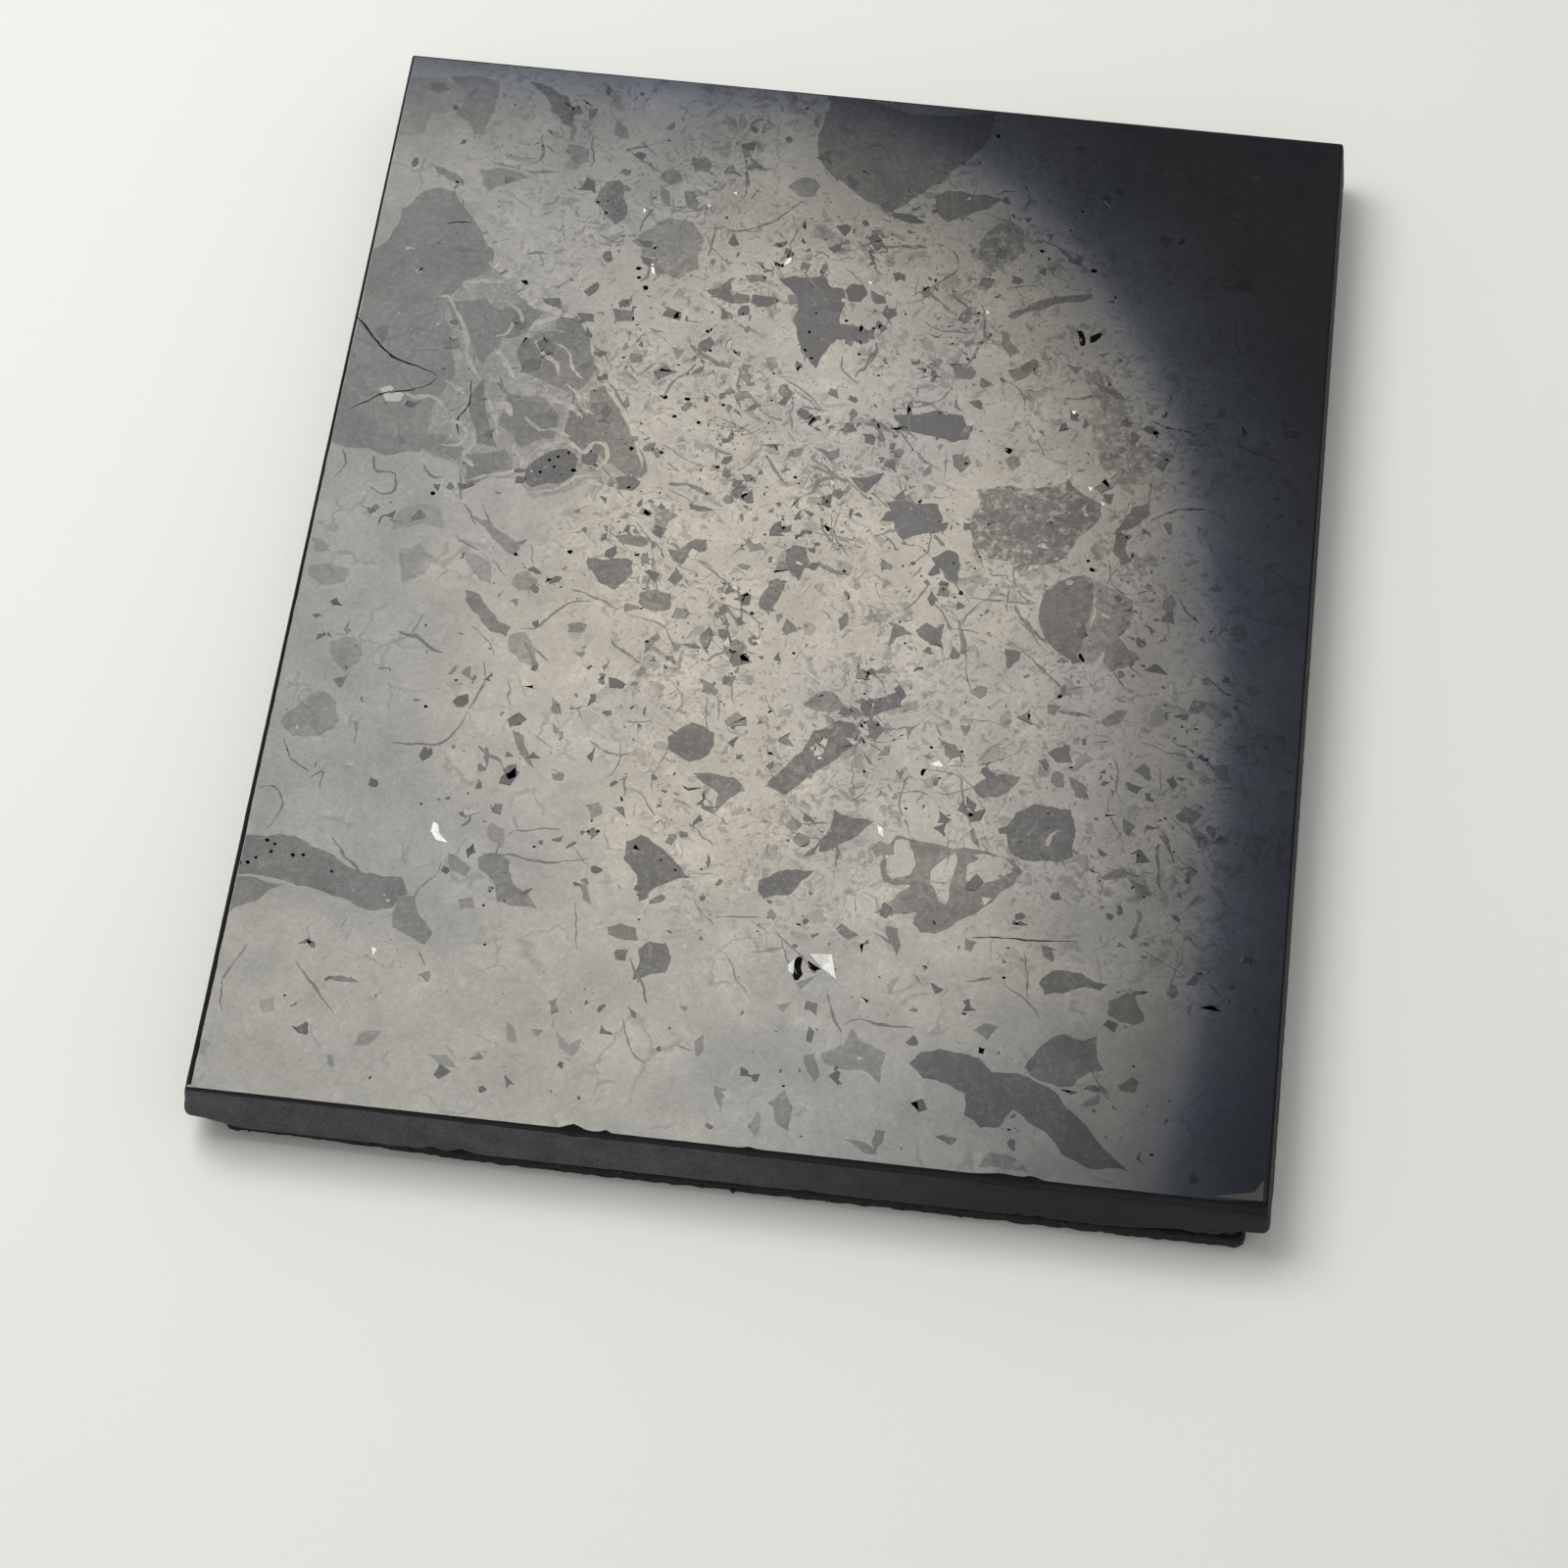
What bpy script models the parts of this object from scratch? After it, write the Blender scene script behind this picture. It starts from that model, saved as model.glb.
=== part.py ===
"""Small polished stone slab for leatherwork, on a glued non-slip rubber backing.

The slab lies flat. The origin is on the surface that it rests on, below the middle of the slab,
with +Z up, +Y along the slab's longer side and -Y its front edge.
"""

import bmesh
import bpy

# The stone. Its working face is the polished top; its four sides lean out a little towards the base.
FACE_WIDTH = 0.1000
FACE_LENGTH = 0.1250
STONE_THICKNESS = 0.0060
SIDE_LEAN = 0.0008  # how far each side stands out at the base, past the top
CORNER_RADIUS = 0.0012  # the four upright corners
TOP_ARRIS = 0.0005  # the eased edge round the polished face
BASE_ARRIS = 0.0003

# The rubber backing, cut a little short of the stone at both ends and at the back.
PAD_THICKNESS = 0.0012
PAD_LEFT_SETBACK = 0.0035
PAD_RIGHT_SETBACK = 0.0020
PAD_BACK_SETBACK = 0.0025
PAD_FRONT_SETBACK = 0.0
PAD_CORNER_RADIUS = 0.0010

# The adhesive film between them.
FILM_THICKNESS = 0.0003
FILM_SETBACK = 0.0015  # from the edge of the pad, all round
FACE_GAP = 0.0003  # kept between two faces that touch

CORNER_SEGMENTS = 4
ARRIS_SEGMENTS = 2

COLLECTION = "granite_slab"


def clear_scene():
    for obj in list(bpy.data.objects):
        bpy.data.objects.remove(obj, do_unlink=True)


def make_material(name, color, roughness, metallic=0.0):
    material = bpy.data.materials.new(name)
    material.use_nodes = True
    shader = material.node_tree.nodes["Principled BSDF"]
    shader.inputs["Base Color"].default_value = (*color, 1.0)
    shader.inputs["Roughness"].default_value = roughness
    shader.inputs["Metallic"].default_value = metallic
    return material


def box_mesh(low, high):
    """A bmesh box between two corners, made from the cube primitive."""
    mesh = bmesh.new()
    bmesh.ops.create_cube(mesh, size=1.0)
    for vertex in mesh.verts:
        for axis in range(3):
            share = vertex.co[axis] + 0.5
            vertex.co[axis] = low[axis] + share * (high[axis] - low[axis])
    return mesh


def upright_edges(mesh):
    """The edges that run from the bottom face to the top face."""
    return [e for e in mesh.edges if abs(e.verts[0].co.z - e.verts[1].co.z) > 1e-6]


def rim_edges(mesh, height):
    """The outline edges of the flat face at this height."""
    return [
        e
        for e in mesh.edges
        if all(abs(v.co.z - height) < 1e-6 for v in e.verts)
        and any(abs(f.normal.z) < 0.9 for f in e.link_faces)
    ]


def round_edges(mesh, edges, width, segments):
    bmesh.ops.bevel(
        mesh,
        geom=edges,
        offset=width,
        offset_type="OFFSET",
        segments=segments,
        profile=0.5,
        affect="EDGES",
        clamp_overlap=True,
    )
    mesh.normal_update()


def add_object(name, mesh, material, collection):
    data = bpy.data.meshes.new(name)
    mesh.normal_update()
    mesh.to_mesh(data)
    mesh.free()
    data.materials.append(material)
    obj = bpy.data.objects.new(name, data)
    collection.objects.link(obj)
    return obj


def pad_outline():
    """Left, right, front and back of the pad, set back from the stone's base."""
    half_width = FACE_WIDTH / 2 + SIDE_LEAN
    half_length = FACE_LENGTH / 2 + SIDE_LEAN
    return (
        -half_width + PAD_LEFT_SETBACK,
        half_width - PAD_RIGHT_SETBACK,
        -half_length + PAD_FRONT_SETBACK,
        half_length - PAD_BACK_SETBACK,
    )


def backing_pad(collection):
    """The rubber sheet that the slab rests on."""
    left, right, front, back = pad_outline()
    mesh = box_mesh((left, front, 0.0), (right, back, PAD_THICKNESS))
    round_edges(mesh, upright_edges(mesh), PAD_CORNER_RADIUS, CORNER_SEGMENTS)
    material = make_material("black_rubber", (0.012, 0.012, 0.012), 0.9)
    return add_object("backing_pad", mesh, material, collection)


def adhesive_film(collection):
    """The film of adhesive that holds the pad to the stone."""
    left, right, front, back = pad_outline()
    bottom = PAD_THICKNESS + FACE_GAP
    low = (left + FILM_SETBACK, front + FILM_SETBACK, bottom)
    high = (right - FILM_SETBACK, back - FILM_SETBACK, bottom + FILM_THICKNESS)
    mesh = box_mesh(low, high)
    material = make_material("contact_adhesive", (0.10, 0.085, 0.05), 0.6)
    return add_object("adhesive_film", mesh, material, collection)


def stone_slab(collection):
    """The polished stone plate, with leaning sides and eased edges."""
    bottom = PAD_THICKNESS + FACE_GAP + FILM_THICKNESS + FACE_GAP
    top = bottom + STONE_THICKNESS
    half_width, half_length = FACE_WIDTH / 2, FACE_LENGTH / 2
    mesh = box_mesh((-half_width, -half_length, bottom), (half_width, half_length, top))
    for vertex in mesh.verts:
        if vertex.co.z < (bottom + top) / 2:
            vertex.co.x += SIDE_LEAN if vertex.co.x > 0 else -SIDE_LEAN
            vertex.co.y += SIDE_LEAN if vertex.co.y > 0 else -SIDE_LEAN
    mesh.normal_update()
    round_edges(mesh, upright_edges(mesh), CORNER_RADIUS, CORNER_SEGMENTS)
    round_edges(mesh, rim_edges(mesh, top), TOP_ARRIS, ARRIS_SEGMENTS)
    round_edges(mesh, rim_edges(mesh, bottom), BASE_ARRIS, ARRIS_SEGMENTS)
    material = make_material("polished_black_stone", (0.045, 0.045, 0.045), 0.15)
    return add_object("stone_slab", mesh, material, collection)


def main():
    clear_scene()
    collection = bpy.data.collections.new(COLLECTION)
    bpy.context.scene.collection.children.link(collection)
    backing_pad(collection)
    adhesive_film(collection)
    stone_slab(collection)


main()
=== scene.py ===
"""A hand-size granite breccia slab: polished face, eased arrises, ground sides and a rubber backing."""

import math
import random

import bmesh
import bpy
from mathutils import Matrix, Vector, noise
from mathutils.geometry import delaunay_2d_cdt


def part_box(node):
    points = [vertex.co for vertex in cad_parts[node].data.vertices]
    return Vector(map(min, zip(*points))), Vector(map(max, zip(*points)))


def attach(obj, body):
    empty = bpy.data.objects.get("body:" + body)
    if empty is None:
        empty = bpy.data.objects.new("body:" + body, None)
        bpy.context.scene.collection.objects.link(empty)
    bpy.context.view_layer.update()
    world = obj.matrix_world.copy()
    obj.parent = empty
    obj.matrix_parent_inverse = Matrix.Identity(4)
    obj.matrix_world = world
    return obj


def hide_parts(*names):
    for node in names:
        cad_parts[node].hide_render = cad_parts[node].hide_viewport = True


bl_info = {
    "name": "Granite slab",
    "version": (1, 0, 0),
    "blender": (4, 5, 0),
    "location": "3D Viewport > Sidebar > Granite slab",
    "description": "Builds a polished granite work slab with its rubber backing",
    "category": "Object",
}

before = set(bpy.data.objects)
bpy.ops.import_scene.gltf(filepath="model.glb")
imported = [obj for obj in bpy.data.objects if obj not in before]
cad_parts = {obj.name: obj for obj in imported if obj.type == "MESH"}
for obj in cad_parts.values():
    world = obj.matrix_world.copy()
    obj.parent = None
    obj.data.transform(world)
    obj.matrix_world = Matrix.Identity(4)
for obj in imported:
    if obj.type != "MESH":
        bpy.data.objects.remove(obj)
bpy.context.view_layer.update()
MM = 0.001
BODY = "root"

STONE_LOW, STONE_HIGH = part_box("stone_slab")
PAD_LOW, PAD_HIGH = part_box("backing_pad")
FACE_Z = STONE_HIGH.z
# How far the ground sides lean out between the face and the base.
LEAN = 0.76 * MM
EDGE_X = STONE_HIGH.x - LEAN
EDGE_Y = STONE_HIGH.y - LEAN

# Each clast is (tone, speckle, outline in millimetres on the face). Tone 0 is the pale
# matrix and 1 the darkest clast; speckle is how much pale squiggle runs through it.
FAR_LEFT_CLASTS = (
    (0.26, 0.2, ((-50.6, 59.6), (-46, 59.8), (-43.6, 58.5), (-43.5, 56.5), (-45, 55), (-46.6, 54.5),
                 (-47, 52), (-48.5, 51.2), (-50.6, 51.6))),
    (0.55, 0.0, ((-47.4, 58.9), (-45.8, 59), (-45.3, 58.2), (-46.3, 57.5), (-47.3, 58))),
    (0.42, 0.2, ((-45.5, 60.1), (-40.2, 60), (-40, 56), (-40.5, 52.5), (-41.5, 52.4), (-42.7, 54.2),
                 (-44, 55), (-43.5, 56.5), (-43.7, 58.5))),
    (0.62, 0.0, ((-37, 60.3), (-34.5, 59.9), (-32.5, 58.8), (-31.8, 57), (-31.3, 54.4), (-33.3, 56),
                 (-34.4, 57.8), (-35.6, 59.2))),
    (0.35, 0.0, ((-31.5, 52.2), (-29.2, 52), (-28.9, 50.2), (-30.3, 49.7), (-31, 50.5))),
    (0.45, 0.0, ((-26.8, 56.3), (-25.6, 55.2), (-25.2, 53.8), (-26.8, 54.2))),
    (0.65, 0.0, ((-25.4, 52.5), (-23.3, 53.3), (-23, 52.8), (-25.2, 52))),
    (0.45, 0.0, ((-39.3, 48.9), (-35, 48.3), (-31.4, 48.5), (-35, 47.9))),
    (0.35, 0.0, ((-38, 50.2), (-33.5, 50.1), (-35.5, 49.5), (-37.5, 49.5))),
    (0.42, 0.0, ((-40.5, 47.8), (-38.5, 48.2), (-35, 47.3), (-37.5, 46), (-38.8, 45), (-39.7, 46))),
    (0.50, 0.0, ((-45, 47.6), (-43, 47), (-41.5, 45.8), (-42.5, 45.5), (-44.5, 46.5))),
    (0.66, 0.2, ((-26.8, 47.8), (-25.4, 48.2), (-24.7, 45.8), (-24, 43.9), (-25, 42.1), (-26.3, 43.6),
                 (-27.7, 45), (-27.4, 46.3))),
    (0.50, 0.3, ((-23, 40.3), (-21, 42.3), (-19.5, 43.8), (-17, 43.6), (-15.8, 42), (-16, 39),
                 (-15.6, 37.5), (-17.5, 36), (-20, 36.2), (-21.5, 37.5), (-21.8, 39.5))),
    (0.60, 0.0, ((-18.3, 52), (-17, 52.4), (-16, 51.5), (-16.2, 50.3), (-17.8, 50.4))),
    (0.60, 0.0, ((-18.5, 47.5), (-17.3, 47.6), (-16.7, 46), (-17, 45), (-18, 45.8))),
    (0.50, 0.0, ((-20.9, 50), (-19.5, 50.2), (-18.8, 49), (-19.8, 48.2), (-20.8, 48.6))),
    (0.55, 0.0, ((-21, 48), (-20, 47.3), (-19.5, 45.3), (-20.5, 45.6))),
    (0.30, 0.35, ((-37, 35.3), (-34.5, 33), (-32, 30.6), (-29.5, 29.8), (-27, 29.5), (-25.4, 27.4),
                 (-24.3, 24), (-22.3, 20.5), (-20.3, 17.8), (-19, 15), (-17.6, 10.6), (-20, 9.5),
                 (-23, 9.8), (-26, 7.5), (-28.5, 6.5), (-30, 8.8), (-33, 8.8), (-35.3, 7.2),
                 (-36.3, 9.8), (-39, 10.5), (-42, 13), (-42, 18), (-41.5, 24), (-42, 29), (-39.5, 33))),
    (0.47, 0.0, ((-50.6, 34.5), (-49.5, 36), (-47.6, 39.5), (-47.6, 41.5), (-46, 43.8), (-44, 44.9),
                 (-42.3, 44.5), (-40, 41.4), (-38.3, 39), (-37, 36.8), (-36.8, 35.4), (-39, 33.2),
                 (-40.5, 31), (-40.8, 28), (-39.3, 25), (-38.5, 21), (-40, 17), (-40.2, 13),
                 (-40.4, 10.9), (-42.3, 10.7), (-44, 10.1), (-45.6, 10.8), (-48.4, 10.7), (-50.6, 11.3))),
)
OVAL_CLASTS = (
    (0.62, 0.1, ((-24.5, 20.6), (-22.4, 21.7), (-20.3, 18.3), (-18.6, 14.2), (-17.3, 11.4), (-18.5, 10.1),
                 (-20.5, 11.5), (-22.9, 13.1), (-24.6, 16.2))),
    (0.60, 0.1, ((-32.1, 26.3), (-29.6, 27.7), (-25.5, 27.6), (-24, 24), (-25.8, 20.4), (-28.6, 20.9),
                 (-31.7, 22.2), (-32.7, 24.6))),
    (0.58, 0.1, ((-35.7, 29.7), (-32.9, 31.2), (-30.8, 29.9), (-32.2, 26.9), (-34.2, 26.1), (-35.8, 27))),
    (0.52, 0.0, ((-40.8, 30.2), (-37, 31.1), (-35, 28.2), (-34.6, 24.9), (-35.9, 22.5), (-37.8, 25.6),
                 (-39.4, 27.7))),
    (0.55, 0.1, ((-32.8, 19.3), (-29.7, 19.3), (-27.1, 17), (-27.3, 14.2), (-30.4, 12.7), (-33, 15.1))),
    (0.62, 0.0, ((-36.5, 17.3), (-35.5, 20.9), (-32.8, 12.4), (-34.9, 12.7))),
    (0.55, 0.0, ((-35.9, 11.2), (-31.9, 12.4), (-30.8, 9.7), (-35.2, 7.3))),
    (0.60, 0.0, ((-30, 30.3), (-27.2, 29.9), (-25.9, 27.6), (-29.1, 27.9))),
    (0.50, 0.2, ((-41.7, 13.5), (-38, 13.4), (-36.1, 12), (-36.3, 10.4), (-39.7, 11))),
    (0.64, 0.0, ((-26.4, 18.7), (-24.8, 18.3), (-23.5, 14.1), (-24.7, 12.9), (-26.4, 15.4))),
    (0.80, 0.2, ((-31.2, 31.8), (-29.4, 32), (-28.9, 30.6), (-30.4, 30.2))),
    (0.66, 0.0, ((-23.8, 31.3), (-21.5, 31.3), (-21.3, 29.9), (-23.1, 29.7))),
    (0.75, 0.0, ((-27.3, 30.3), (-25.5, 30.3), (-25.3, 29.3), (-26.4, 29.3))),
    (0.90, 0.4, ((-29.6, 9), (-29, 11), (-27.2, 12.8), (-25.8, 13.2), (-24.4, 12), (-24.6, 10),
                 (-25.8, 8.8), (-28.5, 8))),
    (0.80, 0.0, ((-24.2, 12.8), (-23.5, 13.4), (-22.5, 12.8), (-22.8, 11.4), (-24, 11.6))),
    (0.80, 0.0, ((-20.5, 10.3), (-19, 10.8), (-17.8, 10), (-18.5, 8.8), (-20, 8.8))),
    (-0.35, 0.0, ((-45.8, 18.2), (-44.8, 18.8), (-43.2, 17.9), (-43.5, 17), (-45, 16.8))),
)
FAR_MIDDLE_CLASTS = (
    (0.64, 0.1, ((-5, 62.6), (-5, 58.5), (-5.2, 55.2), (-4.5, 53), (-2, 50.8), (0.8, 48.5), (3.2, 47),
                 (4.5, 48.3), (6.5, 50.3), (8.5, 52), (10, 54.5), (12, 57), (13, 62.6))),
    (0.70, 0.2, ((7.7, 50), (9, 51), (12, 50.8), (15, 50.5), (13.5, 49), (11, 47.5), (9.5, 46.8),
                 (8, 48.3))),
    (0.85, 0.0, ((3.5, 47.5), (5, 47.4), (7.2, 47), (7, 46.4), (5, 46.3), (3.7, 46.8))),
    (0.60, 0.9, ((12, 43.2), (14, 46.5), (15.5, 48), (17.5, 46.5), (18, 44), (16.5, 42), (14.8, 40.8),
                 (13.5, 42))),
    (0.55, 0.2, ((-7.7, 49.5), (-6.5, 50.8), (-5, 50.9), (-4.3, 49.8), (-4.8, 48.5), (-6.5, 48.3))),
    (0.32, 0.3, ((-4.5, 44.8), (-3.3, 45), (-0.3, 42.5), (0, 41.8), (-1.5, 41), (-3, 42.6))),
    (1.00, 0.2, ((-7.2, 37.3), (-4.2, 37.8), (-2.4, 38.2), (-1.6, 36.8), (-0.4, 36.8), (0, 34.5),
                 (-0.2, 32.2), (1.3, 32.2), (2.8, 31.8), (2.9, 30.8), (1.3, 30.1), (-0.3, 30.2),
                 (-1.2, 28.5), (-2, 26.2), (-3.2, 27.6), (-4.3, 29.8), (-5, 32), (-5.1, 35.2),
                 (-6.2, 36.3))),
    (0.85, 0.0, ((-0.2, 36.5), (0.5, 37.6), (1.6, 37.6), (2.2, 36.5), (1.6, 35.2), (0.3, 35.3))),
    (0.80, 0.0, ((2.5, 37), (3.8, 36.4), (4.3, 35.4), (3.2, 35.2), (2.6, 36))),
    (0.80, 0.2, ((-14.5, 34.8), (-13.3, 35.3), (-12, 37), (-11.7, 35), (-10, 34.8), (-9.8, 33.8),
                 (-12, 33.5), (-13.5, 34))),
    (0.90, 0.3, ((-9.6, 34.9), (-8.5, 34.9), (-7.3, 34.9), (-7.4, 33.7), (-8.8, 33.3), (-9.7, 33.8))),
    (0.60, 0.0, ((-13.2, 53.8), (-12.3, 54.1), (-12, 53), (-12.8, 52.7))),
    (0.80, 0.3, ((-14.3, 28), (-13.3, 29), (-12.7, 28), (-13.5, 26.9), (-14.3, 27))),
    (0.40, 0.0, ((-7.2, 27), (-6.3, 27.3), (-5.8, 26), (-6.5, 25.3), (-7.1, 25.8))),
    (0.60, 0.0, ((12, 35), (13, 36.2), (13.3, 34.8), (12.6, 33.8), (11.8, 34.2))),
    (0.60, 0.0, ((11.7, 28.4), (13.2, 28.8), (13.4, 27.6), (12.6, 26.6), (12, 27.5))),
    (0.70, 0.0, ((14.8, 27.3), (15.6, 26.8), (16.3, 26.5), (15.3, 25.8), (14.8, 26.3))),
    (0.70, 0.2, ((17, 35.8), (20, 37.8), (23, 38.8), (25.3, 39.3), (25.3, 38.7), (23, 37.9),
                 (20.2, 36.6), (17.3, 35))),
    (0.60, 0.0, ((16.3, 33.5), (17.2, 33), (18.5, 31), (17.6, 30), (16.6, 31.5))),
    (0.70, 0.0, ((-5.3, 23.5), (-4.6, 24), (-4, 22.3), (-4.6, 21))),
    (0.95, 0.1, ((6.5, 21.3), (8.5, 21.6), (11, 22.6), (13.5, 22.2), (14.8, 20.8), (14.3, 19.2),
                 (12.8, 18.7), (10, 19.3), (8, 19.8))),
)
FAR_RIGHT_CLASTS = (
    (0.80, 0.0, ((38.7, 41.3), (41, 43.9), (42, 41.3), (40.5, 41.6))),
    (0.60, 0.0, ((20.3, 42.2), (21.5, 42.3), (21, 41.2))),
    (0.60, 0.0, ((17.5, 28.5), (18.5, 27.2), (20, 28.6), (19.3, 29.6))),
    (0.60, 0.0, ((23.3, 30), (25.2, 29.8), (24.5, 28.8))),
    (0.45, 0.9, ((25.2, 29.5), (27.5, 29.3), (29.2, 27), (30.8, 25.5), (31, 22), (33, 20.5),
                 (33.5, 18), (31.5, 16), (29.5, 15.5), (28.2, 17.5), (27, 20.5), (26.2, 24))),
    (0.75, 0.0, ((26.5, 28), (28.5, 27.4), (29.8, 26.2), (28.8, 26.1), (27.2, 27))),
    (0.72, 1.0, ((15.8, 13.2), (18, 14), (20.5, 13.9), (23, 14.6), (24.8, 15.3), (26.5, 14),
                 (28.4, 13), (28.6, 11.5), (27.3, 9.5), (25.8, 7), (24.5, 5.3), (22, 4.8),
                 (21.2, 3.2), (20, 5), (18, 5), (16.2, 6), (15.6, 9), (16.3, 11))),
    (0.70, 0.0, ((30.3, 10), (31.5, 13), (33, 13.8), (33.4, 12.3), (32.2, 10.8))),
    (0.72, 0.0, ((30.2, 9.8), (31.8, 9.5), (31.2, 8), (32, 6.5), (31, 5.8), (30, 7.5))),
    (0.45, 0.3, ((23.6, 1.6), (25, 3.2), (27.5, 4.3), (30, 3.2), (32.5, 1.8), (32.3, -1.2),
                 (30.3, -4), (29, -6.2), (26.5, -5.7), (24.3, -3.8), (23.4, -1.2))),
    (0.70, 0.1, ((23.6, 1.6), (25, 3.2), (27.3, 4.2), (28.7, 2), (28.3, -1), (28.2, -3), (27.5, -5.9),
                 (26.5, -5.7), (24.3, -3.8), (23.4, -1.2))),
    (0.58, 0.2, ((30.2, -3.5), (31.5, -2.7), (32.5, -4), (33.8, -4.8), (32.5, -6), (31, -6.8),
                 (30.2, -5.5))),
    (0.70, 0.0, ((35.3, -0.3), (36.3, 1.9), (36.8, -0.5))),
    (0.50, 0.0, ((35.3, -3), (36, -1.7), (36.3, -2.5))),
    (0.70, 0.0, ((20.5, -5.3), (22, -5.5), (22, -6.5), (21, -7.7), (20.7, -6.5))),
    (0.60, 0.0, ((25.2, -11.2), (26.6, -11.3), (26, -12.5), (25.2, -12.2))),
    (0.50, 0.0, ((30.5, -12.5), (31.8, -11.2), (33, -11), (32.5, -12.3), (31, -13.1))),
    (0.70, 0.0, ((38.2, -10.8), (39, -10.6), (38.8, -11.6), (38.2, -11.4))),
    (0.72, 0.1, ((25.7, -16.7), (27.8, -15.6), (28.2, -17.5), (26.5, -17.6))),
    (0.60, 0.0, ((28, -19.2), (29.8, -20), (30.2, -21.5), (28.8, -21.3))),
    (0.50, 0.0, ((41.5, -16.2), (43, -16), (43.5, -18), (42, -17.5))),
)
LEFT_CLASTS = (
    (0.24, 0.1, ((-41, 4), (-39, 4.8), (-37, 4.2), (-36.5, 2), (-38.5, 2.3), (-40, 1.8), (-41.8, 1.2))),
    (0.30, 0.1, ((-40.5, -1), (-38.5, 0), (-37, -1.5), (-37.5, -3.5), (-39.5, -5), (-40, -3))),
    (0.50, 0.2, ((-34, 3.9), (-32, 3.5), (-30, 2), (-28.5, 0.5), (-29.3, -0.3), (-31.3, 1.3), (-33, 3))),
    (0.38, 0.1, ((-34, -0.5), (-32.5, -0.8), (-31, -2), (-30.8, -4), (-32, -3.8), (-33.5, -2))),
    (0.38, 0.1, ((-28.5, -2.5), (-27.3, -2), (-26.2, -3), (-26.8, -4.3), (-28, -4.5), (-28.8, -3.8))),
    (0.62, 0.2, ((-33.2, -5), (-31.5, -5.5), (-30.5, -7), (-29.3, -8.3), (-28, -8.8), (-28.3, -10),
                 (-30, -9.5), (-31.5, -7.8), (-33, -6.2))),
    (0.38, 0.1, ((-28, -9.8), (-26.5, -9.2), (-25.5, -11), (-24.6, -13.2), (-26.5, -12.8),
                 (-27.8, -11.5))),
    (0.55, 0.0, ((-22.6, -7.7), (-21.5, -7.4), (-20.6, -7.6), (-21, -8.6), (-22.3, -8.7))),
    (0.55, 0.0, ((-21.5, -10.8), (-20.3, -10.7), (-20.5, -11.5))),
    (0.60, 0.0, ((-22.8, -16.3), (-22, -17), (-21.5, -18.2), (-22.6, -18))),
    (0.33, 0.2, ((-45.3, -12.5), (-44, -11.8), (-42.3, -12.2), (-42, -14.5), (-43.3, -16),
                 (-44.3, -15), (-45.2, -13.8))),
    (0.30, 0.1, ((-49, -4), (-47, -3.4), (-45, -3.8), (-45.2, -5.5), (-47.5, -6.2), (-49, -5.2))),
    (0.33, 0.0, ((-49.6, -0.5), (-48, -1), (-47.3, -2), (-48.8, -2.3))),
    (0.74, 0.2, ((-21.8, 0.3), (-20.2, 0.2), (-17.2, 0.5), (-17, -1), (-18.5, -3.2), (-20.3, -2.4),
                 (-21.5, -1))),
    (0.38, 0.1, ((-48.5, -22.5), (-47, -20), (-45.3, -18.3), (-43.5, -19.5), (-42.8, -21.5),
                 (-44.5, -23.5), (-47, -23.8))),
    (0.65, 0.0, ((-19.2, 3.3), (-18, 3.8), (-16, 3), (-16.3, 2.3), (-19, 2.6))),
)
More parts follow.
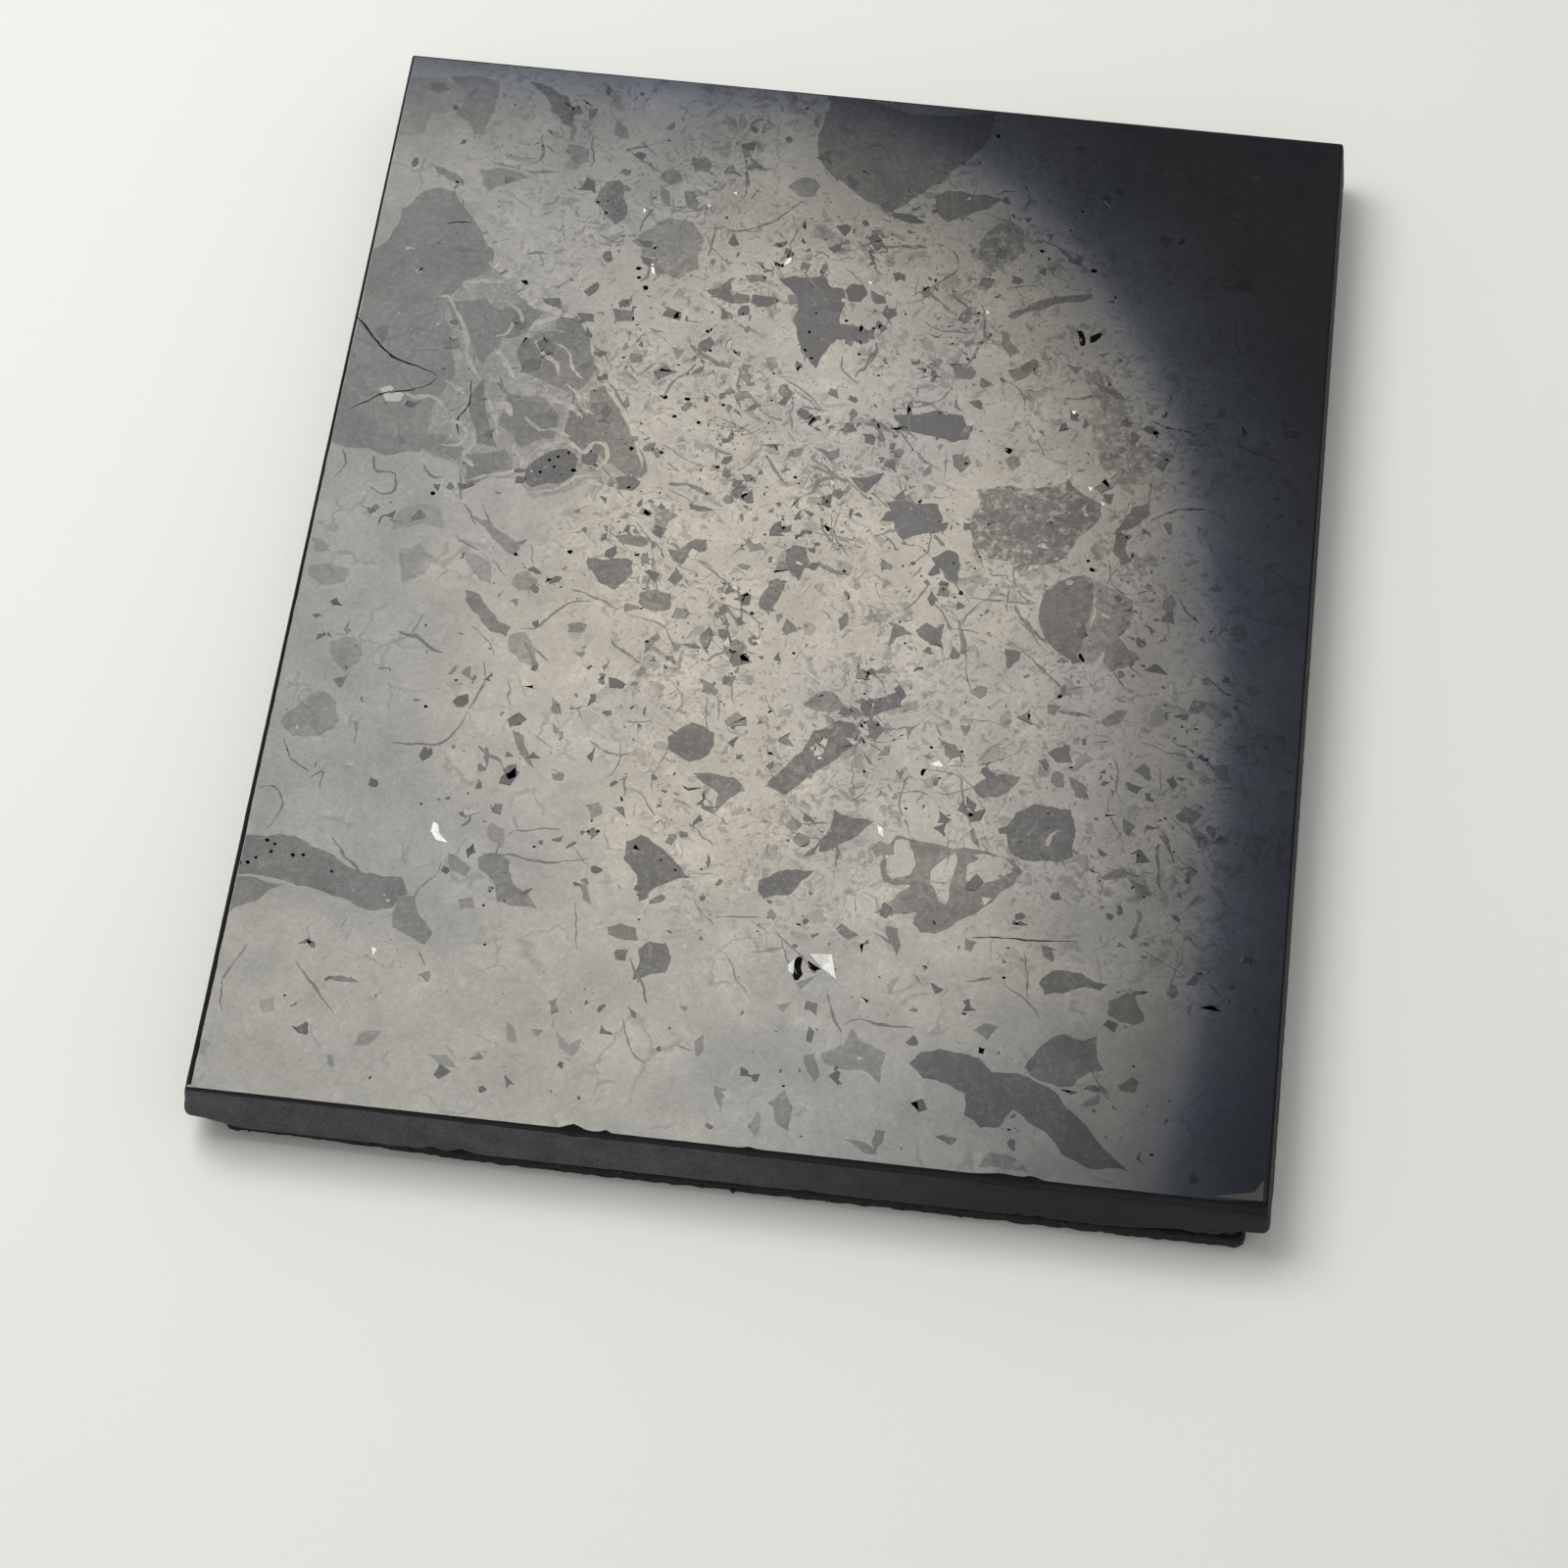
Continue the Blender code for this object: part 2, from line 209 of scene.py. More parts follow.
MIDDLE_CLASTS = (
    (0.90, 0.1, ((3, 13.2), (6.4, 14.2), (5.5, 12.5), (4.8, 11.4), (4, 12))),
    (1.00, 0.1, ((7, 10.6), (9, 11), (12.2, 11), (12.9, 9), (12, 7.6), (9.2, 6.2), (8.2, 7.5))),
    (1.00, 0.1, ((12.2, 4.5), (13.8, 5.7), (14.9, 5), (15, 3), (15, 1.3), (13.8, 2.2), (13, 3.5))),
    (0.78, 0.2, ((-2.3, 3.5), (-1.7, 4.3), (-0.3, 4.2), (0.3, 2.5), (-0.5, 0.3), (-1.5, 1),
                 (-2.2, 2.3))),
    (0.78, 0.2, ((-3.8, -1.5), (-2.8, 0.2), (-1.8, 0), (-2.2, -2), (-2.8, -3.8), (-4, -3.6),
                 (-4.2, -2.5))),
    (0.66, 0.1, ((-16, -3.2), (-14.5, -2.6), (-13, -2.9), (-12.8, -4.8), (-14.5, -5.2), (-16, -4.4))),
    (0.60, 0.6, ((-16.5, 7.5), (-14.5, 7.1), (-13.4, 6.4), (-14.3, 5.6), (-14.6, 4.2), (-16, 4.2),
                 (-15.8, 5.8))),
    (0.75, 0.0, ((-12.6, 8), (-11, 7.9), (-9, 7.6), (-11.5, 7.2), (-12.4, 7.3))),
    (0.75, 0.1, ((-14, 2.3), (-12.8, 2.3), (-11.8, 3.6), (-10.3, 3.9), (-10.2, 2.5), (-11.5, 2),
                 (-12.3, 0.6), (-13.3, 1))),
    (0.60, 0.0, ((-17, 3.6), (-15.8, 3.2), (-16, 2.5), (-17, 2.6))),
    (0.65, 0.0, ((-9.7, 13), (-9, 12.5), (-9, 11.6), (-9.8, 11.8))),
    (0.65, 0.0, ((-8.4, 11.3), (-7, 10.8), (-6.9, 10.2), (-8.2, 10.4))),
    (0.50, 0.0, ((-7, 4.8), (-5, 4.2), (-4.2, 3.5), (-5.8, 2.9), (-6.3, 3.8))),
    (0.60, 0.0, ((-14.7, -9), (-13.6, -7.6), (-13.2, -8.3), (-14.5, -10.3))),
    (0.58, 0.1, ((-7, -8), (-5.8, -7.4), (-4.8, -8), (-4.8, -9.8), (-6, -10.2), (-6.8, -9.2))),
    (0.75, 0.0, ((-6.5, -11.8), (-5.3, -11.7), (-5.5, -13), (-6.5, -12.8))),
    (0.60, 0.0, ((-8.9, -12.5), (-7.5, -12.8), (-6.8, -14), (-8.2, -13.6))),
    (0.55, 0.1, ((1.6, -14.3), (3, -12.6), (4.3, -12.3), (5.8, -14), (4.5, -14.7), (3, -14.8))),
    (0.85, 0.0, ((7.3, -13), (9, -12.5), (10.8, -11.4), (11.2, -13.4), (9.5, -14), (7.8, -14.8),
                 (7.2, -14))),
    (0.82, 0.4, ((5.3, -15.5), (7.2, -15.8), (7.3, -17.8), (5, -20.5), (2.5, -23), (1, -24.6),
                 (-0.8, -23.8), (0.3, -22), (2.2, -19.5), (3, -17))),
    (0.78, 0.1, ((-11, -19.5), (-8.8, -17.5), (-6.5, -18.5), (-6.8, -21), (-8.5, -22), (-10.8, -20.8))),
    (0.70, 0.1, ((13, 17.2), (14.5, 17.4), (15, 16.5), (14, 15), (13.2, 15.8))),
    (0.80, 0.1, ((11.5, -4.3), (12.5, -3.2), (14.2, -4), (14.5, -6.3), (13.3, -5.6), (12, -5))),
    (0.75, 0.0, ((9.3, -3.6), (10.3, -4), (11.3, -4.8), (9.8, -5.3), (9, -6.6), (9.2, -5))),
    (0.70, 0.0, ((3.8, -4), (4.6, -2.8), (4.8, -4.5), (4.2, -5.3))),
    (0.60, 0.0, ((8, -9.5), (9.2, -8.6), (9.8, -9.5), (8.5, -9.8))),
    (0.60, 0.0, ((11.8, -15.5), (12.8, -15.3), (12.2, -17))),
    (0.70, 0.0, ((15.2, -16.5), (16.8, -16.9), (17.9, -18.1), (16.8, -19), (15.9, -18.2))),
    (0.65, 0.0, ((-1, 16.5), (0.5, 16), (1.6, 16.8), (1.7, 15.6), (0.8, 14.9), (0, 15.8))),
)
NEAR_MIDDLE_CLASTS = (
    (0.72, 0.1, ((-8, -23.2), (-6, -23), (-4, -23.2), (-2.7, -24.6), (-4, -25.5), (-5.4, -27.4),
                 (-5.3, -25.2), (-6.8, -24.2))),
    (0.80, 0.3, ((3.6, -31.2), (5.5, -28.5), (6, -25.5), (7.8, -26.3), (10, -26.4), (8.5, -28.3),
                 (6.5, -29.8), (5, -30.5))),
    (0.80, 0.1, ((-13.3, -31.5), (-12, -30.6), (-10.5, -31.5), (-8.3, -33.2), (-6.9, -34.8),
                 (-8.8, -35.6), (-10.5, -37.2), (-11.7, -36.8), (-11.8, -35), (-13.3, -33.5))),
    (0.80, 0.1, ((-0.2, -34.2), (1.5, -33), (3.2, -32.6), (4.8, -32.5), (3.8, -33.8), (2.8, -35.5),
                 (0.5, -36.2), (-0.2, -35.2))),
    (0.60, 0.1, ((12.2, -37.7), (13.5, -37.8), (13.9, -39.5), (13.6, -40.8), (12.8, -39.3))),
    (0.62, 0.0, ((-13.8, -41), (-12.5, -40.4), (-11, -40.8), (-10.6, -42), (-12, -42.2), (-13.5, -41.8))),
    (0.75, 0.1, ((-10.5, -43), (-9.5, -42), (-8, -42), (-7.3, -43.5), (-7.6, -45.2), (-9, -45.5),
                 (-10.6, -46.3), (-10.3, -44.8))),
    (0.75, 0.0, ((-12.6, -43.3), (-11.4, -43.2), (-11.5, -44.4), (-12.5, -44.3))),
    (0.64, 0.2, ((12.2, -27.7), (14, -28), (17.8, -28.5), (19.3, -28.3), (21, -28.4), (23.6, -29),
                 (24.6, -30.2), (23.8, -31.8), (22, -33.9), (19, -36.3), (17.1, -37.9), (15.6, -38),
                 (14.8, -37), (15, -35.8), (12.9, -36.3), (11, -36.4), (12.6, -34.8), (14.2, -33),
                 (11.6, -32.9), (11, -31), (11.4, -29))),
    (-0.02, 0.0, ((12.2, -28.2), (13.4, -28.1), (14, -29.3), (14.4, -30.6), (14, -31.8), (12.4, -32.5),
                  (11.5, -31.8), (11.6, -30.2))),
    (-0.02, 0.0, ((17.9, -28.9), (16.8, -30), (15.9, -31.2), (16, -32.5), (16.8, -34), (17.6, -34.8),
                  (17.9, -33.6), (17.9, -31.8), (18.3, -29.9))),
    (-0.02, 0.0, ((19.9, -28.9), (21, -28.7), (22.6, -28.9), (23.6, -29.7), (23.6, -30.4), (22, -31.5),
                  (20.3, -32.1), (19.3, -31.8), (19.2, -30.3))),
    (0.45, 0.2, ((7.8, -51.8), (9.8, -50.6), (10.4, -48.8), (12, -50.3), (13.8, -51), (13.6, -54.2),
                 (11.8, -53), (9.8, -53.2), (8.3, -52.8))),
    (0.45, 0.0, ((6.3, -52.2), (7.2, -51.8), (8, -54), (7.5, -54.9), (6.8, -53.8))),
    (0.45, 0.0, ((-4, -52), (-3.3, -51), (-3, -53), (-3.5, -53.6))),
    (0.50, 0.1, ((3.5, -57.5), (5, -56), (5.9, -57.5), (5.8, -60), (4.7, -59.5), (4.2, -58))),
    (0.35, 0.0, ((2, -60), (2.8, -58.2), (3.2, -60), (2.8, -61.6))),
    (0.45, 0.0, ((-1.5, -56.3), (-0.2, -56.5), (-0.5, -59), (-1, -58))),
    (0.55, 0.0, ((10.8, -60.3), (12.5, -60.3), (14.2, -61.4), (12.8, -61.4))),
    (0.35, 0.0, ((-17, -52.5), (-15.5, -53.8), (-14.3, -53), (-15, -55), (-16.3, -54.2))),
    (0.50, 0.0, ((-5.9, -48.5), (-5, -48.5), (-5.2, -49.1))),
    (0.50, 0.1, ((1.3, -27.8), (2.2, -26.8), (3.2, -27.7), (2.5, -28.8))),
    (0.60, 0.0, ((2.7, -29.8), (3.8, -29), (3.9, -30))),
    (0.50, 0.0, ((-17, -36.8), (-16.3, -36.6), (-15.5, -38.8), (-16.5, -38.3))),
    (0.40, 0.0, ((0, -42), (2, -41.2), (3.7, -41), (2, -41.8))),
    (0.35, 0.0, ((13, -44), (14.3, -42.7), (13.5, -44.9))),
    (0.38, 0.0, ((3, -47.2), (4.5, -46.8), (3.8, -48))),
)
NEAR_RIGHT_CLASTS = (
    (0.80, 0.2, ((22.5, -26), (23.3, -23.8), (25, -22.6), (28.5, -22.8), (29.2, -25), (29.2, -28),
                 (27.8, -28.8), (25.5, -29), (23.2, -28.3))),
    (0.64, 0.0, ((19, -21.4), (20.2, -20.2), (21.7, -19.6), (23.4, -19.8), (22.6, -21.2), (21.5, -22.2),
                 (20, -22.6), (19.3, -22.1))),
    (0.60, 0.0, ((38.5, -22.2), (39.3, -21), (41, -21.8), (40.3, -23.2), (39, -22.9))),
    (0.55, 0.0, ((39.8, -23), (41.5, -24), (41.8, -25.2), (40.8, -24.5))),
    (0.60, 0.0, ((33.5, -23.2), (34.8, -24), (34.3, -25.2), (33.6, -24.5))),
    (0.55, 0.0, ((31.7, -30), (33, -29), (34.3, -28.7), (34.5, -29.6), (33.3, -30))),
    (0.55, 0.0, ((34.8, -29.8), (36.3, -30.4), (37, -31.2), (36, -31.9), (35.3, -31))),
    (0.50, 0.0, ((35.6, -33), (36.2, -33.3), (36, -36), (35.3, -36))),
    (0.60, 0.0, ((19.8, -38), (20.8, -38.3), (20.5, -39.5), (19.9, -39.3))),
    (0.78, 0.1, ((27.2, -42), (28.3, -40.5), (31, -40.4), (33.5, -41.3), (33, -42), (31, -42),
                 (29.5, -42.8), (27.8, -43.2))),
    (0.65, 0.1, ((33.8, -43), (34.8, -42.5), (35.7, -41.4), (36.5, -43), (37.3, -44.7), (36.3, -45.3),
                 (35, -45.1), (33.8, -44.5))),
    (0.40, 0.0, ((41, -42.8), (41.7, -42), (41.5, -43.8))),
    (0.66, 0.2, ((27, -50.3), (28, -48.5), (30, -47), (32, -47.5), (33, -46.8), (33.2, -49),
                 (34, -50.3), (32.3, -51), (31.2, -52.4), (29.5, -52.4), (27.2, -51.7))),
    (0.55, 0.1, ((21.5, -47.7), (22.5, -46.8), (23.8, -47), (23, -48.5))),
    (0.62, 0.0, ((35.3, -51.8), (36.5, -50.7), (37.3, -51.2), (37, -52.3), (35.8, -52.3))),
    (0.50, 0.0, ((32, -54.2), (33.8, -52.6), (33.8, -53.8), (32.7, -54.3))),
    (0.76, 0.1, ((16, -51.8), (17, -50.5), (20.3, -50.2), (22.5, -50.5), (23.7, -51.8), (26, -51.6),
                 (28, -52.3), (30, -53.3), (31.7, -55.2), (33.2, -56.6), (35.2, -58.8), (37, -60.3),
                 (33.5, -60.5), (31, -59.5), (29.5, -57.6), (27.5, -56.5), (26, -55.4), (25, -57.3),
                 (23.2, -57.6), (21.6, -56.5), (21.5, -54.3), (19.8, -53.5), (17.5, -53.2))),
    (0.50, 0.6, ((23.5, -61.6), (24.2, -60), (26.5, -60.2), (28.3, -61.6))),
)
NEAR_LEFT_CLASTS = (
    (0.50, 0.0, ((-50.6, -40), (-45, -40.2), (-47, -42.2), (-50.6, -44.9))),
    (0.58, 0.1, ((-50.6, -35.3), (-47.5, -35.2), (-44.8, -34.8), (-43, -35.8), (-40, -37),
                 (-36.5, -38), (-33.8, -38), (-33, -39.8), (-34.2, -41.5), (-37.5, -41.7),
                 (-41, -40.5), (-43.5, -40.2), (-46, -39.6), (-50.6, -39.8))),
    (0.48, 0.1, ((-33.7, -40.2), (-32.2, -40), (-31.5, -42), (-30, -43.5), (-30.5, -45), (-32, -44.3),
                 (-33.8, -43.5))),
    (0.48, 0.1, ((-30, -34.8), (-28.8, -35.3), (-27.5, -36.2), (-27.8, -37.2), (-29.3, -36.8))),
    (0.55, 0.1, ((-27, -35), (-25.5, -34.3), (-24, -35), (-23.5, -37), (-22, -38.3), (-20.5, -40),
                 (-22, -39.8), (-24.5, -39.5), (-25.3, -37.3), (-26.8, -36.2))),
    (0.35, 0.1, ((-26.3, -31), (-25, -31.6), (-24.9, -33.8), (-26.2, -33), (-26.7, -32))),
    (0.38, 0.0, ((-28.2, -39.8), (-26.8, -39.4), (-26.5, -40.5), (-27.8, -40.9))),
    (0.50, 0.0, ((-17.8, -28), (-16.5, -27.5), (-16, -28.8), (-17, -29.5))),
    (0.60, 0.1, ((-26, -20.5), (-24.8, -21), (-24, -23), (-23.3, -24.6), (-24.7, -23.3), (-25.5, -22))),
    (0.60, 0.0, ((-21.5, -24.9), (-20.4, -24.7), (-20.3, -25.6), (-21.3, -25.6))),
    (0.35, 0.0, ((-28.5, -56.2), (-26.5, -56.2), (-25.2, -57.5), (-27, -57.3))),
    (0.35, 0.0, ((-21.5, -52), (-20.8, -52.5), (-20.4, -54.3), (-21.3, -54))),
    (0.42, 0.0, ((-19.2, -52.5), (-18, -52.6), (-18.5, -53.3))),
    (0.30, 0.0, ((-44.8, -52.5), (-43.5, -52.3), (-43.2, -53.5), (-44.2, -54))),
    (0.45, 0.0, ((-37.5, -57.5), (-37, -57.5), (-36.8, -58.8), (-37.3, -58.5))),
    (0.32, 0.0, ((-50, -57), (-48.5, -57.5), (-48.8, -59), (-50, -58.7))),
    (0.35, 0.0, ((-35, -55), (-33, -54.5), (-33.8, -56), (-35.2, -56.3))),
    (0.35, 0.0, ((-41.5, -21.5), (-41, -21.5), (-41, -24))),
)
CLASTS = (
    FAR_LEFT_CLASTS + OVAL_CLASTS + FAR_MIDDLE_CLASTS + FAR_RIGHT_CLASTS + LEFT_CLASTS
    + MIDDLE_CLASTS + NEAR_MIDDLE_CLASTS + NEAR_RIGHT_CLASTS + NEAR_LEFT_CLASTS
)

# Open pits: (outline in millimetres, depth in millimetres).
SHAPED_PITS = (
    (((24.1, 34.3), (24.6, 34.4), (25.1, 32.6), (24.7, 32.4)), 0.5),
    (((25.4, 33.4), (26.8, 34.4), (26.5, 33.6), (25.6, 32.9)), 0.5),
    (((4.4, -42), (5, -41.8), (5.2, -44.3), (4.5, -44.5)), 0.7),
    (((5.5, -42.2), (6.8, -43), (6.2, -43.4), (5.6, -42.9)), 0.6),
    (((-7.9, 39.4), (-7.2, 39.1), (-6.5, 39.5), (-6.9, 38.8), (-7.8, 38.9)), 0.4),
    (((-33.8, 33.7), (-33.2, 33.9), (-32.8, 33.4), (-33.3, 33.2)), 0.3),
    (((7.2, 20), (8, 20.2), (8.3, 19.9), (7.6, 19.7)), 0.4),
    (((27.7, -5), (28, -5), (28.4, -5.9), (28.1, -5.9)), 0.4),
    (((22.3, -49.3), (22.9, -49.4), (22.8, -50), (22.3, -49.9)), 0.4),
    (((13.9, -20), (14.3, -20), (14.1, -20.8), (13.8, -20.7)), 0.4),
)
# Round pits: (x, y, radius) in millimetres.
ROUND_PITS = (
    (-38.3, 6.1, 0.28), (-21.8, 36.8, 0.3), (-21.6, 35.6, 0.25), (-20.7, 34.4, 0.35),
    (-28, 10, 0.22), (-27.3, 11.6, 0.2), (-26.5, 12.1, 0.2), (-26.7, 10.8, 0.18),
    (-25.5, 12.7, 0.2), (-24.7, 10.6, 0.28), (-23.4, 13.2, 0.22), (-18.9, 9.3, 0.25),
    (-19.3, 14, 0.28), (-42.4, 45.8, 0.2), (-28.9, -0.2, 0.25), (-23.6, 0.8, 0.28),
    (19.6, 44.2, 0.28), (20.4, 43.3, 0.18), (25.2, 42.3, 0.35), (23.4, 50, 0.2),
    (13.6, 59, 0.3), (27.7, 39.1, 0.18), (18.6, 18.4, 0.45), (28.2, 5, 0.3), (27.7, 6, 0.2),
    (-16.8, 20.8, 0.35), (-14.5, 20.8, 0.3), (-15.5, 18.5, 0.25), (-13, 18, 0.25),
    (-11.8, 17.8, 0.25), (-10.8, 20.5, 0.22), (-16.3, 13.9, 0.3), (-12, 12.2, 0.15),
    (-2.4, 12.5, 0.22), (-2, 11.8, 0.15), (-13.6, 29.6, 0.25), (-13, 27.2, 0.2),
    (-3.4, 28.4, 0.25), (-2.6, 27.5, 0.22), (-3.2, 30.8, 0.2), (0.4, 32.7, 0.22),
    (-4.6, 5.2, 0.15), (10.4, 3.6, 0.25), (14.5, 16.3, 0.2), (4.6, 20.4, 0.25),
    (7.8, -15.5, 0.2), (10.7, -5.9, 0.15), (3.8, 1.8, 0.2), (0, -8.4, 0.18),
    (-34.8, -18.9, 0.2), (-47.3, -35.6, 0.25), (-46.5, -35.9, 0.2), (-46.7, -36.8, 0.2),
    (-44.6, -36.9, 0.25), (-43.6, -36.8, 0.22), (-49.5, -38.3, 0.3), (-48.7, -38.2, 0.25),
    (-48, -37.6, 0.2), (-24.9, -44.3, 0.15), (-8.2, -34.1, 0.15), (23.9, -41.8, 0.2),
    (14.5, -17.5, 0.2), (17.5, -17.6, 0.2), (38.4, -12.2, 0.15), (14, 29.7, 0.18),
    (22.3, 47.3, 0.15), (-33.4, -29.8, 0.15), (-21.9, -33.2, 0.15), (-6.2, 25.1, 0.15),
)

# Pale flow ribbons, each (half width, points) in millimetres.
RIBBONS = (
    (0.26, ((-46.5, 47.3), (-44, 46.2), (-42, 45), (-40.5, 43), (-38.8, 40.5), (-37.8, 38.3),
            (-36.4, 37.2), (-35, 36.6))),
    (0.18, ((-39.5, 40.5), (-37, 38.8), (-35.4, 37.8), (-35, 36.5))),
    (0.42, ((-37.5, 35.7), (-35.8, 34.9), (-34.2, 33.2), (-32.8, 31.8), (-31.6, 30.3))),
    (0.30, ((-35.5, 34.6), (-33.5, 33.2), (-31.8, 31.2), (-30, 30.3), (-27.3, 29.7))),
    (0.20, ((-38.7, 31.2), (-39.4, 32.6), (-37.5, 33.2), (-35.5, 33.3), (-34.5, 32.9))),
    (0.22, ((-42, 30.6), (-40.8, 30.7), (-39.7, 29), (-38.6, 27.2), (-38, 25.2), (-37.6, 23.2),
            (-36.5, 21.5), (-35.6, 20.4))),
    (0.26, ((-32, 26.2), (-31.5, 28), (-30.2, 29), (-29, 29.5))),
    (0.26, ((-35, 24.8), (-34, 23.7), (-33, 22), (-32, 21))),
    (0.18, ((-35.2, 20), (-34.5, 18), (-33.6, 16), (-33, 14))),
    (0.20, ((-39.5, 20.2), (-38, 19.3), (-37.2, 18.6))),
    (0.16, ((-43.3, 18.2), (-42, 17.6), (-40.5, 18), (-39, 17))),
    (0.14, ((-39.2, 13.2), (-38.8, 14.8), (-37, 15), (-36.1, 13.6), (-37, 12.2), (-38.6, 12.2))),
    (0.22, ((-35.8, 14.3), (-35.2, 12.8), (-36, 11), (-34.8, 9.9))),
    (0.24, ((-30, 19.6), (-28, 19), (-26, 18.3), (-24.8, 17.1))),
    (0.30, ((-33.6, 17), (-32.6, 17.9), (-32, 16.4))),
    (0.16, ((-25.6, 27.8), (-24.5, 24.5), (-22.6, 21), (-20.6, 18.2), (-19.2, 15.5), (-17.8, 11.8))),
    (0.16, ((-29.9, 9.6), (-29.2, 12), (-27.4, 13.5), (-25.8, 14), (-24, 12.8), (-23.2, 14.2),
            (-22, 14), (-21.6, 12.2), (-22.8, 10.8))),
    (0.16, ((-28.4, 7.4), (-26, 8.2), (-24.2, 9.8), (-22.5, 10.4))),
    (0.18, ((-35.2, 8), (-33, 9), (-31, 9.6), (-30, 11), (-31.4, 12.4))),
    (0.18, ((-31, 26.4), (-30, 24.6), (-28.6, 23.8), (-28, 22.2))),
    (0.16, ((-29, 26.2), (-27.4, 25.2), (-26.6, 23), (-25.4, 22))),
    (0.15, ((-33.6, 28.6), (-34, 26.8), (-35.4, 26.2))),
    (0.16, ((-30.6, 16.6), (-29, 15.2), (-27.2, 15.4), (-25.6, 14.6))),
    (0.14, ((-34.6, 30.8), (-33, 29.4), (-32.6, 27.8))),
    (0.14, ((-27.2, 21.2), (-25.8, 20.2), (-25.2, 18.6), (-23.6, 17.6))),
    (0.14, ((26.5, -28.4), (26.7, -26.4), (27.7, -25))),
    (0.12, ((29.4, -22.9), (30, -24.6), (29.9, -26.6))),
    (0.13, ((25.2, -58.6), (26.2, -57.5), (27.4, -57.8), (28.4, -58.8), (27.6, -59.6))),
    (0.12, ((10.8, -27.2), (11.2, -29), (10.9, -30.6))),
    (0.12, ((28.6, 2.6), (28.8, 0.2), (28.6, -2))),
)
# Dark cracks and seams, drawn as flat strips painted near-black as the shade in an open crack, each (half
# width, points) in millimetres.
CRACKS = (
    (0.08, ((-50, 27.3), (-49, 26.3), (-47.7, 24.8), (-46.3, 23.3), (-44.9, 22.3), (-42.7, 21.6),
            (-41, 21), (-40.2, 20.4))),
    (0.06, ((-40.2, 20.4), (-41, 19.4), (-42.7, 18.5), (-45.2, 17.8), (-46.6, 16.8), (-48.5, 15.4))),
    (0.055, ((-36.8, 20.5), (-36.5, 17.5), (-37.3, 15.3), (-36.8, 13.4))),
    (0.06, ((-42.6, 40.2), (-41.2, 40.6), (-40, 40.6))),
    (0.06, ((20.5, -37.9), (23, -37.6), (26.4, -37.5), (30.2, -37.1))),
)
SEAMS = (
    (0.09, ((-30.6, -18.8), (-30, -17), (-29.6, -15), (-30, -13))),
    (0.09, ((-37.5, -23.4), (-35, -23.2), (-32.6, -22.8), (-31.3, -21), (-30.6, -18.8))),
    (0.08, ((-48.3, 10.4), (-47.6, 8.6), (-48.6, 6.8))),
    (0.10, ((-45, 10), (-44.4, 8.2), (-42.6, 8), (-42.2, 6), (-43.4, 5.4), (-44.8, 6.2))),
    (0.09, ((-39.8, 9.6), (-39, 8.2), (-37.6, 8.2))),
    (0.08, ((-36, 9.2), (-35.4, 6), (-34.2, 4))),
    (0.09, ((-27, -8.8), (-25.6, -8.6), (-24.4, -7), (-22.6, -5.2), (-20.8, -4.8))),
    (0.08, ((-26.6, -10), (-25.4, -12), (-24.6, -13.6))),
    (0.09, ((-26.8, -34.6), (-24, -34.4), (-21, -34.8), (-18.6, -34.4), (-16.6, -33.8))),
    (0.09, ((-16, 43), (-12, 43), (-9.6, 44), (-7.8, 45.6), (-6, 47.8))),
    (0.08, ((-16.8, 44.8), (-16, 46), (-15.8, 43.6))),
    (0.09, ((8.6, 44), (10.4, 43), (11.2, 41), (10, 39.4), (8.4, 37.8), (6.6, 36.8))),
    (0.10, ((6.2, 22.2), (9, 22.8), (11.4, 24.2), (12.2, 26.6))),
    (0.09, ((-5.2, 24.6), (-3.4, 23.6), (-1.8, 22.4), (-0.6, 20.8))),
    (0.09, ((7, 20), (8.6, 18), (10.2, 16.2), (11.8, 15.2))),
    (0.08, ((5.4, 11.6), (6.4, 10.8), (7.2, 10.2))),
    (0.08, ((16.4, 0.2), (19.2, 0.2), (23, 0.3))),
    (0.08, ((20.4, 5.6), (20.6, 3), (21.6, 1), (23.2, 0.4))),
    (0.09, ((22, -5.2), (24.6, -7.4), (26.6, -9.4))),
    (0.08, ((12.4, -0.6), (13.8, -1.6), (14.6, -3), (15.2, -4.2))),
    (0.08, ((12.8, -20.5), (12.2, -22.5), (12.2, -24.6), (13, -26.2), (13.6, -27.6))),
    (0.10, ((14.2, -20), (16, -20.1), (17.6, -20.5), (18, -22.3), (18.6, -24.4), (19.2, -26))),
    (0.18, ((19, -25.6), (19.6, -27), (20.3, -28.2))),
    (0.07, ((-16, -6), (-13.2, -6.8), (-11.8, -9), (-10.6, -9.8))),
    (0.07, ((-11.4, 1.6), (-9.4, 0.4), (-7.8, -0.8), (-6.6, -2.2))),
    (0.08, ((9.4, -48.6), (11, -47.8), (13.2, -48.2), (16.4, -48))),
    (0.08, ((7.6, -45.4), (8.4, -47.6), (9.4, -49.4), (9.6, -51))),
    (0.07, ((-11, -50.4), (-10.2, -52.4), (-9.4, -54), (-8.2, -54.8))),
    (0.10, ((33, 11), (34.4, 12.2), (36, 13.2), (38, 13.6), (40, 13.2), (41.2, 12.2))),
    (0.08, ((-49.2, -30), (-47.8, -29.6), (-46.6, -31.4), (-47.6, -34.4))),
    (0.08, ((-44.6, -28.2), (-43.4, -27.4), (-43.4, -29.4))),
    (0.07, ((-48, -24), (-46.6, -26.4), (-44.6, -27.6))),
    (0.07, ((-47, -47), (-48.6, -51), (-48, -54.4))),
    (0.07, ((-42.4, -48), (-40, -50.6), (-37.6, -53.4))),
)
